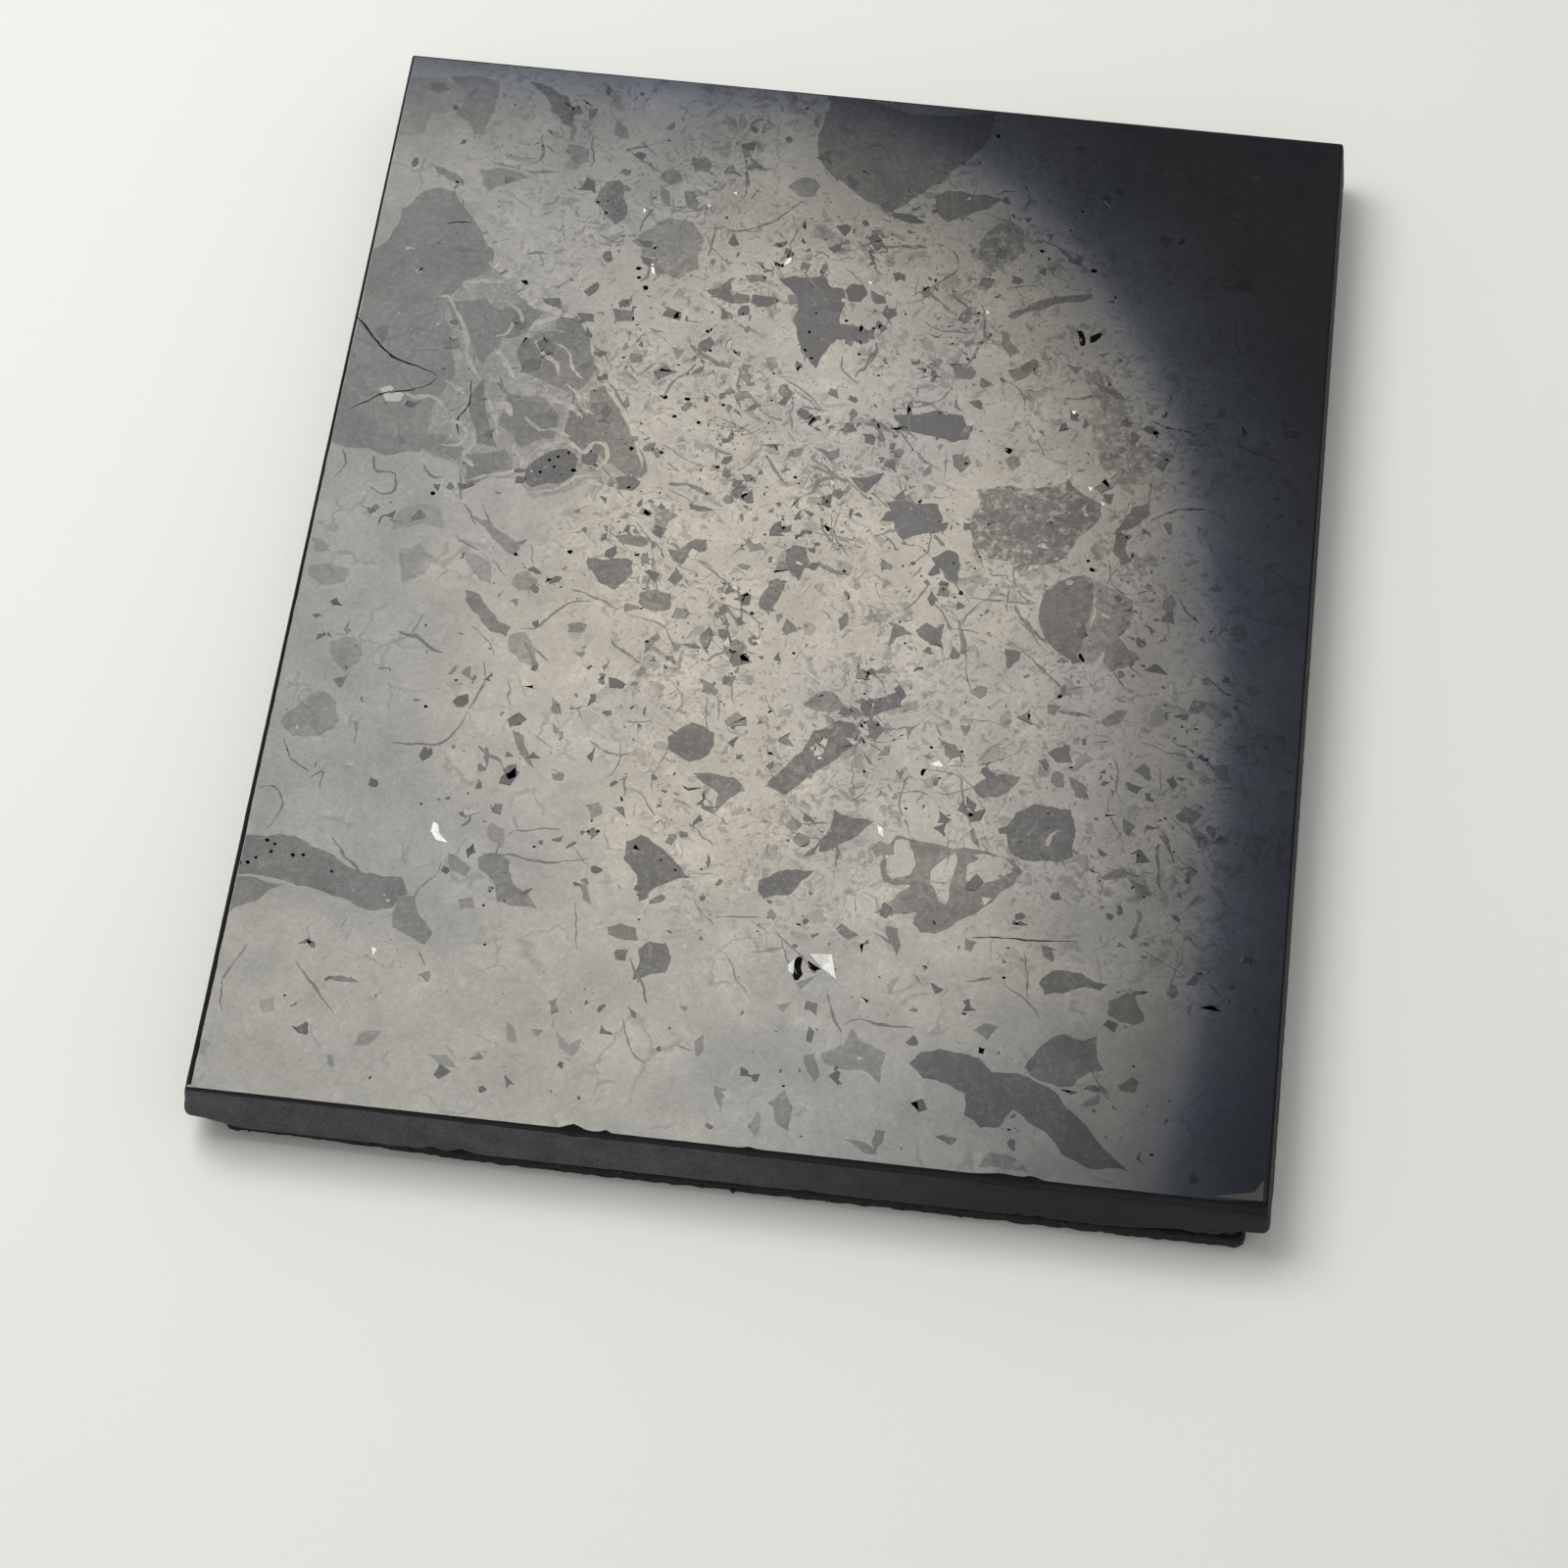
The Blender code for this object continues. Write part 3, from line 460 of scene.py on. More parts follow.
# White crystal flecks set in the face, outlines in millimetres.
FLECKS = (
    ((-31.9, -31.6), (-31.4, -31.9), (-31.1, -32.9), (-30.1, -33.8), (-31.3, -33.6), (-32, -32.7)),
    ((-35.4, -45.8), (-34.9, -46), (-35.1, -46.8)),
    ((-22.4, 44.8), (-22.1, 44.5), (-22.3, 44)),
    ((-13.3, 47.9), (-13, 48.1), (-12.9, 47.7)),
    ((-15.8, 46.1), (-15.5, 46), (-15.6, 45.6)),
    ((10.3, -26.8), (10.8, -27), (11, -28), (10.5, -27.7)),
    ((-6.6, 40), (-6.2, 40.2), (-6.2, 39.6), (-6.9, 39)),
    ((-20.6, 37.6), (-20.3, 37.5), (-20, 36.2), (-20.4, 36.4)),
    ((26.9, 15), (27.4, 14.9), (27.2, 14.4)),
    ((24.4, 24.2), (25, 24.1), (24.7, 23.7)),
    ((2.1, 38.1), (2.5, 38), (2.3, 37.6)),
    ((14.6, 35.8), (15, 35.6), (14.7, 35.3)),
    ((28.3, 13.3), (28.8, 13.1), (28.6, 12.8)),
    ((14.6, -19.4), (15.4, -18.9), (15.9, -19.5), (15.2, -19.6)),
)
# The cavity's own crystals: (how white, lift of the first corner in millimetres, outline); how white a
# facet is differs from facet to facet as painted light and shade.
VUG_FACETS = (
    (0.75, 0.10, ((5.5, -41.6), (7.6, -41.3), (8.3, -43.9), (6.9, -42.9))),
    (0.25, 0.05, ((4.7, -44.7), (5.3, -43.5), (6.6, -43.6), (7.9, -45), (6.5, -46.1), (5.1, -45.5))),
    (0.9, 0.05, ((3.7, -42.9), (4.2, -42.2), (4.3, -43.8), (3.8, -43.6))),
)
# Chips out of the near upper arris: (x, half length, extra width) in millimetres.
ARRIS_CHIPS = (
    (-13.8, 0.8, 0.55), (-10.9, 0.35, 0.30), (25.8, 1.6, 0.30), (28.4, 0.7, 0.35), (2.5, 0.5, 0.2),
)
# Chips out of the near lower edge: (x, half length, height) in millimetres.
BASE_CHIPS = (
    (-27.2, 0.7, 0.5), (-24.4, 0.9, 0.6), (8.0, 0.6, 0.3), (27.6, 0.5, 0.4), (29.4, 0.5, 0.4),
)
# The stone's material slots, in order.
FACE_SLOT, ARRIS_SLOT, SIDE_SLOT, PIT_SLOT = range(4)
# A dull patch rubbed into the near right corner of the face, in millimetres.
WORN_CORNER = ((44.8, -61.9), (49.4, -61.9), (49.4, -59.6), (48.6, -61.0))
# Inset and fall of an eased edge as shares of its width: the near one is steep, the others level.
NEAR_ARRIS = (0.30, 1.45)
OTHER_ARRIS = (1.0, 0.85)
# Degrees round the eased edge at which its rings lie.
ARRIS_TURNS = (30, 60, 90)
# Small fragments lie thick round these places: (share, x, y, spread across, spread along) in millimetres.
CROWDS = ((1.0, -2, 12, 27, 44), (0.5, 32, -18, 12, 40))
SPARSE = 0.07
# Places of the sky that the face mirrors, as run over rise: (centre, half size, squareness).
PANEL_GLOW = ((-0.217, 0.608), (0.288, 0.281), 2.27)
PANEL_EDGE = ((-0.116, 0.578), (0.164, 0.266), 2.3)
PANEL_CORE = ((-0.065, 0.660), (0.120, 0.140), 2.0)


def linear(code):
    """An sRGB hex colour as linear red, green and blue."""
    parts = [int(code[i:i + 2], 16) / 255 for i in (0, 2, 4)]
    return tuple(p / 12.92 if p <= 0.04045 else ((p + 0.055) / 1.055) ** 2.4 for p in parts)


def colour_property(name, description, code):
    return bpy.props.FloatVectorProperty(
        name=name, description=description, subtype="COLOR", size=3, min=0, max=1, default=linear(code)
    )


def length_property(name, description, default):
    return bpy.props.FloatProperty(name=name, description=description, unit="LENGTH", default=default)


def amount_property(name, description, default):
    return bpy.props.FloatProperty(name=name, description=description, default=default)


class StoneSettings(bpy.types.PropertyGroup):
    seed: bpy.props.IntProperty(
        name="Seed", description="Picks the rough outlines of the clasts", default=7
    )
    arris_near_left: length_property(
        "Near arris, left end", "Eased width at the near left corner", 0.40 * MM
    )
    arris_near_right: length_property(
        "Near arris, right end", "Eased width at the near right corner", 1.05 * MM
    )
    arris_left_near: length_property(
        "Left arris, near end", "Eased width of the left edge, near end", 0.60 * MM
    )
    arris_left_far: length_property(
        "Left arris, far end", "Eased width of the left edge, far end", 0.25 * MM
    )
    arris_right: length_property("Right arris", "Eased width of the right edge", 0.28 * MM)
    arris_far: length_property("Far arris", "Eased width of the far edge", 0.25 * MM)
    corner_lift: length_property("Corner lift", "How far the near lower corners are broken away", 1.6 * MM)
    matrix: colour_property("Matrix", "Warm pale groundmass", "686660")
    cool: colour_property("Cool matrix", "Cool grey groundmass", "61605D")
    clast: colour_property("Clast", "Dark fine-grained clasts", "1F2022")
    # The arris colour is painted near-black as the dark room that the eased edge mirrors.
    arris: colour_property("Arris", "Honed edge", "141517")
    ground: colour_property("Ground side", "Sides ground with coarse grit", "37383A")


class FragmentSettings(bpy.types.PropertyGroup):
    seed: bpy.props.IntProperty(name="Seed", description="Places the small fragments", default=11)
    density: amount_property("Density", "Fragments in a square metre where they are thickest", 1300000.0)
    smallest: length_property("Smallest", "Radius of the smallest fragment", 0.07 * MM)
    largest: length_property("Largest", "Radius of the largest fragment", 0.90 * MM)
    thickness: length_property("Thickness", "Depth of a fragment in the face", 0.05 * MM)
    proud: length_property("Proud", "How far fragments stand above the lapped face", 0.012 * MM)


class SeamSettings(bpy.types.PropertyGroup):
    step: length_property("Step", "Spacing of points along a seam", 0.3 * MM)
    wander: length_property("Wander", "How far a seam strays from its line", 0.24 * MM)
    flatness: amount_property("Flatness", "Thickness of a seam as a share of its width", 0.08)
    strays: bpy.props.IntProperty(
        name="Strays", description="Short seams in the crushed middle", default=330
    )
    seed: bpy.props.IntProperty(name="Seed", description="Places the short seams", default=23)


class BackingSettings(bpy.types.PropertyGroup):
    rubber: colour_property("Rubber", "Black sheet rubber", "17171A")
    glue: colour_property("Adhesive", "Dark brown contact adhesive", "2B231C")
    tear: length_property("Tear", "How ragged the cut edge is", 0.15 * MM)
    setback: length_property("Setback", "How far the near edge is cut back at its left end", 0.6 * MM)
    crumbs: bpy.props.IntProperty(
        name="Crumbs", description="Rubber crumbs along the near edge", default=260
    )
    seed: bpy.props.IntProperty(name="Seed", description="Places the crumbs", default=5)


class StageSettings(bpy.types.PropertyGroup):
    floor: colour_property("Floor", "Pale painted board", "E9E8E4")
    elevation: bpy.props.FloatProperty(
        name="Elevation", description="Camera height angle", subtype="ANGLE", default=math.radians(59.05)
    )
    azimuth: bpy.props.FloatProperty(
        name="Azimuth", description="Camera turn to the right", subtype="ANGLE", default=math.radians(7.06)
    )
    distance: length_property("Distance", "Camera to the point it aims at", 0.3997)
    aim_x: length_property("Aim across", "Point aimed at, across the slab", 0.87 * MM)
    aim_y: length_property("Aim along", "Point aimed at, along the slab", -23.35 * MM)
    lens: amount_property("Lens", "Focal length in millimetres", 95.4)
    panel: amount_property("Panel", "Radiance of the soft overhead panel", 3.3)
    ceiling: amount_property("Ceiling", "Radiance of the ceiling round the panel", 0.46)
    room: amount_property("Room", "Radiance of the studio walls", 0.64)
    key: bpy.props.FloatProperty(
        name="Key", description="Power of the soft key light", unit="POWER", default=1.35
    )


def add(tree, kind, inputs=None, out=0, **settings):
    """Adds one node, sets it, sets or links its inputs, and returns one of its output sockets."""
    made = tree.nodes.new(kind)
    for name, value in settings.items():
        setattr(made, name, value)
    for key, value in (inputs or {}).items():
        if isinstance(value, bpy.types.NodeSocket):
            tree.links.new(value, made.inputs[key])
        else:
            made.inputs[key].default_value = value
    return made.outputs[out] if len(made.outputs) else None


def new_material(name):
    """An empty node material, its tree and its Principled shader."""
    material = bpy.data.materials.new(name)
    material.use_nodes = True
    tree = material.node_tree
    return material, tree, tree.nodes["Principled BSDF"]


def in_millimetres(tree):
    """Object coordinates counted in millimetres."""
    coords = add(tree, "ShaderNodeTexCoord", out="Object")
    return add(tree, "ShaderNodeMapping", {"Vector": coords, "Scale": (1 / MM,) * 3})


def polished_breccia():
    """Lapped impact breccia: its pale groundmass mirrors the lights, and its dark clasts barely do."""
    stone = bpy.context.scene.slab_stone
    material, tree, shader = new_material("polished_breccia")
    place = in_millimetres(tree)
    tone, speckle, scuff = (
        add(tree, "ShaderNodeAttribute", attribute_name=name, out="Fac")
        for name in ("tone", "speckle", "scuff")
    )
    # Noise in cycles a millimetre: clouds about 20 mm across, haze, crowding of grains and fine grain.
    cloud, haze, crowd, grain, grit = (
        add(tree, "ShaderNodeTexNoise",
            {"Vector": place, "Scale": scale, "Detail": detail, "Roughness": rough})
        for scale, detail, rough in (
            (0.045, 3.0, 0.5), (0.16, 4.0, 0.6), (0.11, 2.0, 0.5), (2.4, 3.0, 0.7), (1.3, 2.0, 0.5),
        )
    )
    warp = add(tree, "ShaderNodeTexNoise", {"Vector": place, "Scale": 0.3, "Detail": 4.0}, out="Color")
    bent = add(tree, "ShaderNodeVectorMath", {0: warp, 1: (5.0, 5.0, 0.0)}, operation="MULTIPLY")
    bent = add(tree, "ShaderNodeVectorMath", {0: place, 1: bent}, operation="ADD")

    # The left and near parts are whole and cool, above all along the left side away from the near
    # corner; the middle and right are crushed and warm.
    sides = add(tree, "ShaderNodeSeparateXYZ", {0: place}).node.outputs
    slant = add(tree, "ShaderNodeMath", {0: sides[1], 1: 0.33, 2: sides[0]}, operation="MULTIPLY_ADD")
    whole, calm, leftward, inland = (
        add(tree, "ShaderNodeMapRange", {"Value": measure, "From Min": start, "From Max": end},
            interpolation_type="SMOOTHSTEP")
        for measure, start, end in (
            (slant, -34.0, -14.0), (sides[1], -52.0, -30.0),
            (sides[0], -10.0, -34.0), (sides[1], -48.0, -30.0),
        )
    )
    crushed = add(tree, "ShaderNodeMath", {0: whole, 1: calm}, operation="MULTIPLY")
    left_side = add(tree, "ShaderNodeMath", {0: leftward, 1: inland}, operation="MULTIPLY")
    cloud = add(tree, "ShaderNodeMath", {0: crushed, 1: -0.06, 2: cloud}, operation="MULTIPLY_ADD")
    cloud = add(tree, "ShaderNodeMath", {0: left_side, 1: 0.13, 2: cloud}, operation="MULTIPLY_ADD")

    # Healed cracks are thin lines round patches 5 mm wide, with gaps where the haze is low; the ridge
    # is how near the flow noise is to its middle.
    edge = add(tree, "ShaderNodeTexVoronoi", {"Vector": bent, "Scale": 0.2}, feature="DISTANCE_TO_EDGE")
    flow = add(tree, "ShaderNodeTexNoise", {"Vector": bent, "Scale": 0.8, "Detail": 2.0, "Roughness": 0.5})
    ridge = add(tree, "ShaderNodeMath", {0: flow, 1: 0.52}, operation="SUBTRACT")
    ridge = add(tree, "ShaderNodeMath", {0: ridge}, operation="ABSOLUTE")
    coolness, mottling, graining, line, gaps, ridge, grit, blotch, dust, rough = (
        add(tree, "ShaderNodeMapRange", {"Value": measure, "From Min": start, "From Max": end,
                                         "To Min": before, "To Max": after})
        for measure, start, end, before, after in (
            (cloud, 0.45, 0.60, 0.0, 1.0),
            (haze, 0.3, 0.7, 0.80, 1.08),
            (grain, 0.3, 0.7, 0.86, 1.10),
            (edge, 0.010, 0.045, 1.0, 0.0),
            (haze, 0.52, 0.60, 0.0, 1.0),
            (ridge, 0.0, 0.05, 0.26, 0.0),
            (grit, 0.52, 0.66, 0.0, 0.42),
            (haze, 0.36, 0.64, -0.05, 0.07),
            (grain, 0.50, 0.66, 0.0, 0.22),
            (grain, 0.0, 1.0, 0.03, 0.06),
        )
    )

    # Crushed grains of 1.1 mm, 0.5 mm and 0.25 mm: a share of each size is dark, and fewer are pale.
    factors = [mottling, graining]
    for scale, share, depth in ((0.9, 0.05, 0.30), (2.0, 0.10, 0.30), (4.0, 0.12, 0.24)):
        cells = add(tree, "ShaderNodeTexVoronoi", {"Vector": bent, "Scale": scale},
                    distance="CHEBYCHEV", out="Color")
        pick = add(tree, "ShaderNodeSeparateColor", {0: cells})
        limit = add(tree, "ShaderNodeMapRange", {"Value": crowd, "From Min": 0.38, "From Max": 0.62,
                                                 "To Min": share * 0.2, "To Max": share * 1.6})
        dark = add(tree, "ShaderNodeMath", {0: pick, 1: limit}, operation="LESS_THAN")
        dark = add(tree, "ShaderNodeMath", {0: dark, 1: crushed}, operation="MULTIPLY")
        pale = add(tree, "ShaderNodeMath", {0: pick, 1: 1.0 - share * 0.4}, operation="GREATER_THAN")
        for grains, change in ((dark, -depth), (pale, 0.08)):
            factors.append(add(tree, "ShaderNodeMath", {0: grains, 1: change, 2: 1.0},
                               operation="MULTIPLY_ADD"))
    line = add(tree, "ShaderNodeMath", {0: line, 1: gaps}, operation="MULTIPLY")
    factors.append(add(tree, "ShaderNodeMath", {0: line, 1: -0.26, 2: 1.0}, operation="MULTIPLY_ADD"))
    # Inside a clast the mirror fades with tone.
    factors.append(add(tree, "ShaderNodeMath", {0: 1.0, 1: tone}, operation="SUBTRACT"))
    sheen = factors[0]
    for factor in factors[1:]:
        sheen = add(tree, "ShaderNodeMath", {0: sheen, 1: factor}, operation="MULTIPLY")

    # Flow squiggles shine through where a clast is speckled; dust and blotches mark it by its tone.
    ridge = add(tree, "ShaderNodeMath", {0: ridge, 1: grit}, operation="ADD")
    for measure, amount in ((ridge, speckle), (dust, tone), (blotch, tone)):
        sheen = add(tree, "ShaderNodeMath", {0: measure, 1: amount, 2: sheen}, operation="MULTIPLY_ADD")
    sheen = add(tree, "ShaderNodeMath", {0: sheen, 1: 0.0}, operation="MAXIMUM")

    pale_colour = add(tree, "ShaderNodeMix", {0: coolness, 6: (*stone.matrix, 1), 7: (*stone.cool, 1)},
                      data_type="RGBA", out=2)
    base = add(tree, "ShaderNodeMix", {0: sheen, 6: (*stone.clast, 1), 7: pale_colour},
               data_type="RGBA", clamp_factor=False, out=2)
    weight = add(tree, "ShaderNodeMath", {0: sheen, 1: 0.127}, operation="ADD")
    metal = add(tree, "ShaderNodeMath", {0: sheen, 1: weight}, operation="DIVIDE", use_clamp=True)
    rough = add(tree, "ShaderNodeMath", {0: scuff, 1: 0.45, 2: rough}, operation="MULTIPLY_ADD")
    for socket, value in (("Base Color", base), ("Metallic", metal), ("Roughness", rough)):
        tree.links.new(value, shader.inputs[socket])
    return material


def rough_surface(name, colours, scale, roughness, bump, relief=0.05 * MM, gloss=0.5, painted_shade=0.0):
    """A matt surface of two colours with so many grains a millimetre, with painted shade darkening it
    towards the right.
    """
    material, tree, shader = new_material(name)
    place = in_millimetres(tree)
    grain = add(tree, "ShaderNodeTexNoise",
                {"Vector": place, "Scale": scale, "Detail": 5.0, "Roughness": 0.7})
    patch = add(tree, "ShaderNodeTexNoise", {"Vector": place, "Scale": scale * 0.08, "Detail": 3.0})
    both = add(tree, "ShaderNodeMath", {0: patch, 1: 0.3, 2: grain}, operation="MULTIPLY_ADD")
    blend = add(tree, "ShaderNodeMapRange", {"Value": both, "From Min": 0.5, "From Max": 0.8})
    base = add(tree, "ShaderNodeMix", {0: blend, 6: (*colours[0], 1), 7: (*colours[1], 1)},
               data_type="RGBA", out=2)
    # Painted shade darkens it from left of the middle to the right end, in millimetres across.
    across = add(tree, "ShaderNodeSeparateXYZ", {0: place})
    right_shade = add(tree, "ShaderNodeMapRange", {"Value": across, "From Min": -10.0, "From Max": 32.0,
                                               "To Max": painted_shade}, interpolation_type="SMOOTHSTEP")
    base = add(tree, "ShaderNodeMix", {0: right_shade, 6: base, 7: (*shaded(colours[0], 0.45), 1)},
               data_type="RGBA", out=2)
    dull = add(tree, "ShaderNodeMapRange",
               {"Value": grain, "To Min": roughness - 0.1, "To Max": roughness + 0.1})
    normal = add(tree, "ShaderNodeBump", {"Height": grain, "Strength": bump, "Distance": relief})
    for socket, value in (("Base Color", base), ("Roughness", dull), ("Normal", normal)):
        tree.links.new(value, shader.inputs[socket])
    shader.inputs["Specular IOR Level"].default_value = gloss
    return material


def shaded(colour, share):
    return tuple(part * share for part in colour)


def calcite_fleck():
    """Calcite flecks: small white cleavage faces that catch the light."""
    material, tree, shader = new_material("calcite_fleck")
    place = in_millimetres(tree)
    # How white: the flecks' own white, and on the cavity's facets painted light and shade as well.
    white = add(tree, "ShaderNodeAttribute", attribute_name="whiteness_and_facet_light", out="Fac")
    grain = add(tree, "ShaderNodeTexNoise", {"Vector": place, "Scale": 3.0, "Detail": 2.0})
    level = add(tree, "ShaderNodeMath", {0: grain, 1: 0.5}, operation="ADD")
    level = add(tree, "ShaderNodeMath", {0: level, 1: white}, operation="MULTIPLY")
    base = add(tree, "ShaderNodeMix", {0: level, 6: (*linear("3A3B3C"), 1), 7: (*linear("EDEBE4"), 1)},
               data_type="RGBA", out=2)
    tree.links.new(base, shader.inputs["Base Color"])
    shader.inputs["Roughness"].default_value = 0.12
    return material


def finish_piece(piece, slot, *replaced):
    """Hands a finished mesh to the frame: its body and the nodes it stands for; the slot argument is not
    used.
    """
    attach(piece, BODY)
    if replaced:
        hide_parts(*replaced)


def link_mesh(name, bm, materials):
    """Turns a bmesh into a linked object at the origin."""
    mesh = bpy.data.meshes.new(name)
    bm.to_mesh(mesh)
    bm.free()
    piece = bpy.data.objects.new(name, mesh)
    bpy.context.scene.collection.objects.link(piece)
    for material in materials:
        mesh.materials.append(material)
    return piece


def smooth(value, low, high):
    share = min(max((value - low) / (high - low), 0.0), 1.0)
    return share * share * (3 - 2 * share)


def mix(a, b, share):
    return a + (b - a) * share


def rim(half_x, half_y, radius, step, centre=(0.0, 0.0)):
    """Points and outward normals round a rectangle with rounded corners, counter-clockwise."""
    found = []
    arcs = []
    steps = 8
    for sign_x, sign_y, start in ((1, -1, -90), (1, 1, 0), (-1, 1, 90), (-1, -1, 180)):
        hub = Vector((sign_x * (half_x - radius), sign_y * (half_y - radius)))
        arc = []
        for k in range(steps + 1):
            angle = math.radians(start + k * 90 / steps)
            out = Vector((math.cos(angle), math.sin(angle)))
            arc.append((hub + out * radius, out))
        arcs.append(arc)
    for arc, following in zip(arcs, arcs[1:] + arcs[:1]):
        found += arc
        run = following[0][0] - arc[-1][0]
        count = round(run.length / step)
        found += [(arc[-1][0] + run * k / count, arc[-1][1]) for k in range(1, count)]
    return [(point + Vector(centre), out) for point, out in found]


def add_ring(bm, points):
    return [bm.verts.new(point) for point in points]


def bridge(bm, upper, lower, slot=0, smooth_shade=True):
    """Quads between two rings that run counter-clockwise, upper above or inside lower."""
    made = []
    for k in range(len(upper)):
        after = (k + 1) % len(upper)
        face = bm.faces.new((upper[k], lower[k], lower[after], upper[after]))
        face.material_index = slot
        face.smooth = smooth_shade
        made.append(face)
    return made


def weathered(outline, source, rough=0.11, least=0.35):
    """An outline in millimetres with each long side broken twice, as clasts crack."""
    points = [Vector(point) for point in outline]
    for _ in range(2):
        longer = []
        for start, end in zip(points, points[1:] + points[:1]):
            run = end - start
            longer.append(start)
            if run.length > least:
                across = Vector((-run.y, run.x))
                longer.append((start + end) / 2 + across * source.uniform(-rough, rough))
        points = longer
        rough *= 0.8
    return points


def eased_edge(point, out):
    """How far the eased edge runs in and how far it falls at a point on the rim."""
    stone = bpy.context.scene.slab_stone
    across = (point.x + EDGE_X) / (2 * EDGE_X)
    along = (point.y + EDGE_Y) / (2 * EDGE_Y)
    near = max(-out.y, 0) ** 2
    front = mix(stone.arris_near_left, stone.arris_near_right, across) * near
    rest = stone.arris_far * max(out.y, 0) ** 2 + stone.arris_right * max(out.x, 0) ** 2
    rest += mix(stone.arris_left_near, stone.arris_left_far, along) * max(-out.x, 0) ** 2
    chips = 0.0
    if near > 0.8:
        for x, half, extra in ARRIS_CHIPS:
            chips += extra * MM * math.exp(-(((point.x / MM - x) / half) ** 2))
        # The arris widens into the near right corner.
        chips += 0.3 * MM * smooth(point.x / MM, 45.5, 49.0)
    # Eased by hand: a tenth wider or narrower every few millimetres.
    uneven = 1 + 0.10 * noise.noise(Vector((point.x, point.y, 3 * MM)) * 900)
    inset, fall = (front * a + rest * b for a, b in zip(NEAR_ARRIS, OTHER_ARRIS))
    return inset * uneven + chips, fall * uneven + 0.6 * chips


def base_lift(point, out):
    """How far the lower edge is broken away above the slab's underside."""
    stone = bpy.context.scene.slab_stone
    x, y = point.x / MM, point.y / MM
    # It rises over the last 6 mm to the left corner and, from further off, to the right one.
    corner = max(0.8 * smooth(x, -44.0, -50.5), smooth(x, 35.0, 49.5))
    lift = stone.corner_lift * corner * smooth(y, -57.0, -61.5)
    if out.y < -0.9:
        for middle, half, height in BASE_CHIPS:
            lift += height * MM * math.exp(-(((x - middle) / half) ** 2))
    return lift


def stone_rings(bm):
    """The eased edge and the leaning ground side, from the face's border down to the underside."""
    corner_radius, step = 0.25 * MM, 0.6 * MM
    around = rim(EDGE_X, EDGE_Y, corner_radius, step)
    edges = [eased_edge(point, out) for point, out in around]
    border = [point - out * inset for (point, out), (inset, _) in zip(around, edges)]
    rings = [add_ring(bm, [(*p, FACE_Z) for p in border])]
    for turn in ARRIS_TURNS:
        inward = 1 - math.sin(math.radians(turn))
        down = 1 - math.cos(math.radians(turn))
        rings.append(add_ring(bm, [
            (*(point - out * inset * inward), FACE_Z - fall * down)
            for (point, out), (inset, fall) in zip(around, edges)
        ]))
    # Shares of the way down the side; the last two turn in as the worn lower edge.
    shares = (0.12, 0.3, 0.5, 0.7, 0.88, 0.97, 1.0)
    worn_in = (0, 0, 0, 0, 0, 0.05 * MM, 0.28 * MM)
    for share, worn in zip(shares, worn_in):
        ring = []
        for (point, out), (_, fall) in zip(around, edges):
            z = mix(FACE_Z - fall, STONE_LOW.z + base_lift(point, out), share)
            shift = LEAN * (FACE_Z - z) / (FACE_Z - STONE_LOW.z)
            shift += 0.05 * MM * noise.noise(Vector((point.x, point.y, z)) * 1100)
            shift -= worn
            ring.append((*(point + out * shift), z))
        rings.append(add_ring(bm, ring))
    # The flat underside starts well inside the broken lower edge.
    rings.append(add_ring(bm, [(point.x * 0.88, point.y * 0.9, STONE_LOW.z) for point, _ in around]))
    return rings, border


def near_face_border(point):
    """Keeps a clast's outline just inside the face's border."""
    gap = 0.06 * MM
    left, right, near, far = (
        eased_edge(Vector(place), Vector(out))[0] + gap
        for place, out in (
            ((-EDGE_X, point.y), (-1, 0)), ((EDGE_X, point.y), (1, 0)),
            ((point.x, -EDGE_Y), (0, -1)), ((point.x, EDGE_Y), (0, 1)),
        )
    )
    return Vector((
        min(max(point.x, -EDGE_X + left), EDGE_X - right),
        min(max(point.y, -EDGE_Y + near), EDGE_Y - far),
    ))


def round_pit(x, y, radius, source):
    """A small ragged pit's outline, in millimetres."""
    turn = source.uniform(0, math.tau)
    corners = 7
    return [
        (x + radius * source.uniform(0.75, 1.2) * math.cos(turn + k * math.tau / corners),
         y + radius * source.uniform(0.6, 1.1) * math.sin(turn + k * math.tau / corners))
        for k in range(corners)
    ]


def face_outlines(source):
    """(outline in metres, tone, speckle, pit depth or 0, scuff) of all that shows in the polished face."""
    found = []
    for tone, speckle, outline in CLASTS:
        found.append((weathered(outline, source), tone, speckle, 0.0, 0.0))
    found.append(([Vector(point) for point in WORN_CORNER], 0.5, 0.0, 0.0, 0.5))
    for outline, depth in SHAPED_PITS:
        found.append((weathered(outline, source, 0.15, 0.3), 1.0, 0.0, depth, 0.0))
    for x, y, radius in ROUND_PITS:
        found.append(([Vector(p) for p in round_pit(x, y, radius, source)], 1.0, 0.0, radius * 1.2, 0.0))
    return [(counter_clockwise([near_face_border(point * MM) for point in points]), *rest)
            for points, *rest in found]


def counter_clockwise(points):
    """The same loop, turned round if its area comes out negative."""
    area = sum(start.cross(end) for start, end in zip(points, points[1:] + points[:1]))
    return points if area > 0 else points[::-1]


def encloses(outline, place):
    """Whether a point lies in a loop, counting the loop's crossings to one side of it."""
    crossings = 0
    for start, end in zip(outline, outline[1:] + outline[:1]):
        if (start.y > place.y) != (end.y > place.y):
            share = (place.y - start.y) / (end.y - start.y)
            crossings += start.x + share * (end.x - start.x) > place.x
    return crossings % 2 == 1


def topmost(outlines, spans, place):
    """Index of the last outline laid over a place, or None; spans are the outlines' boxes."""
    for k in range(len(outlines) - 1, -1, -1):
        left, right, near, far = spans[k]
        if left < place.x < right and near < place.y < far and encloses(outlines[k][0], place):
            return k
    return None


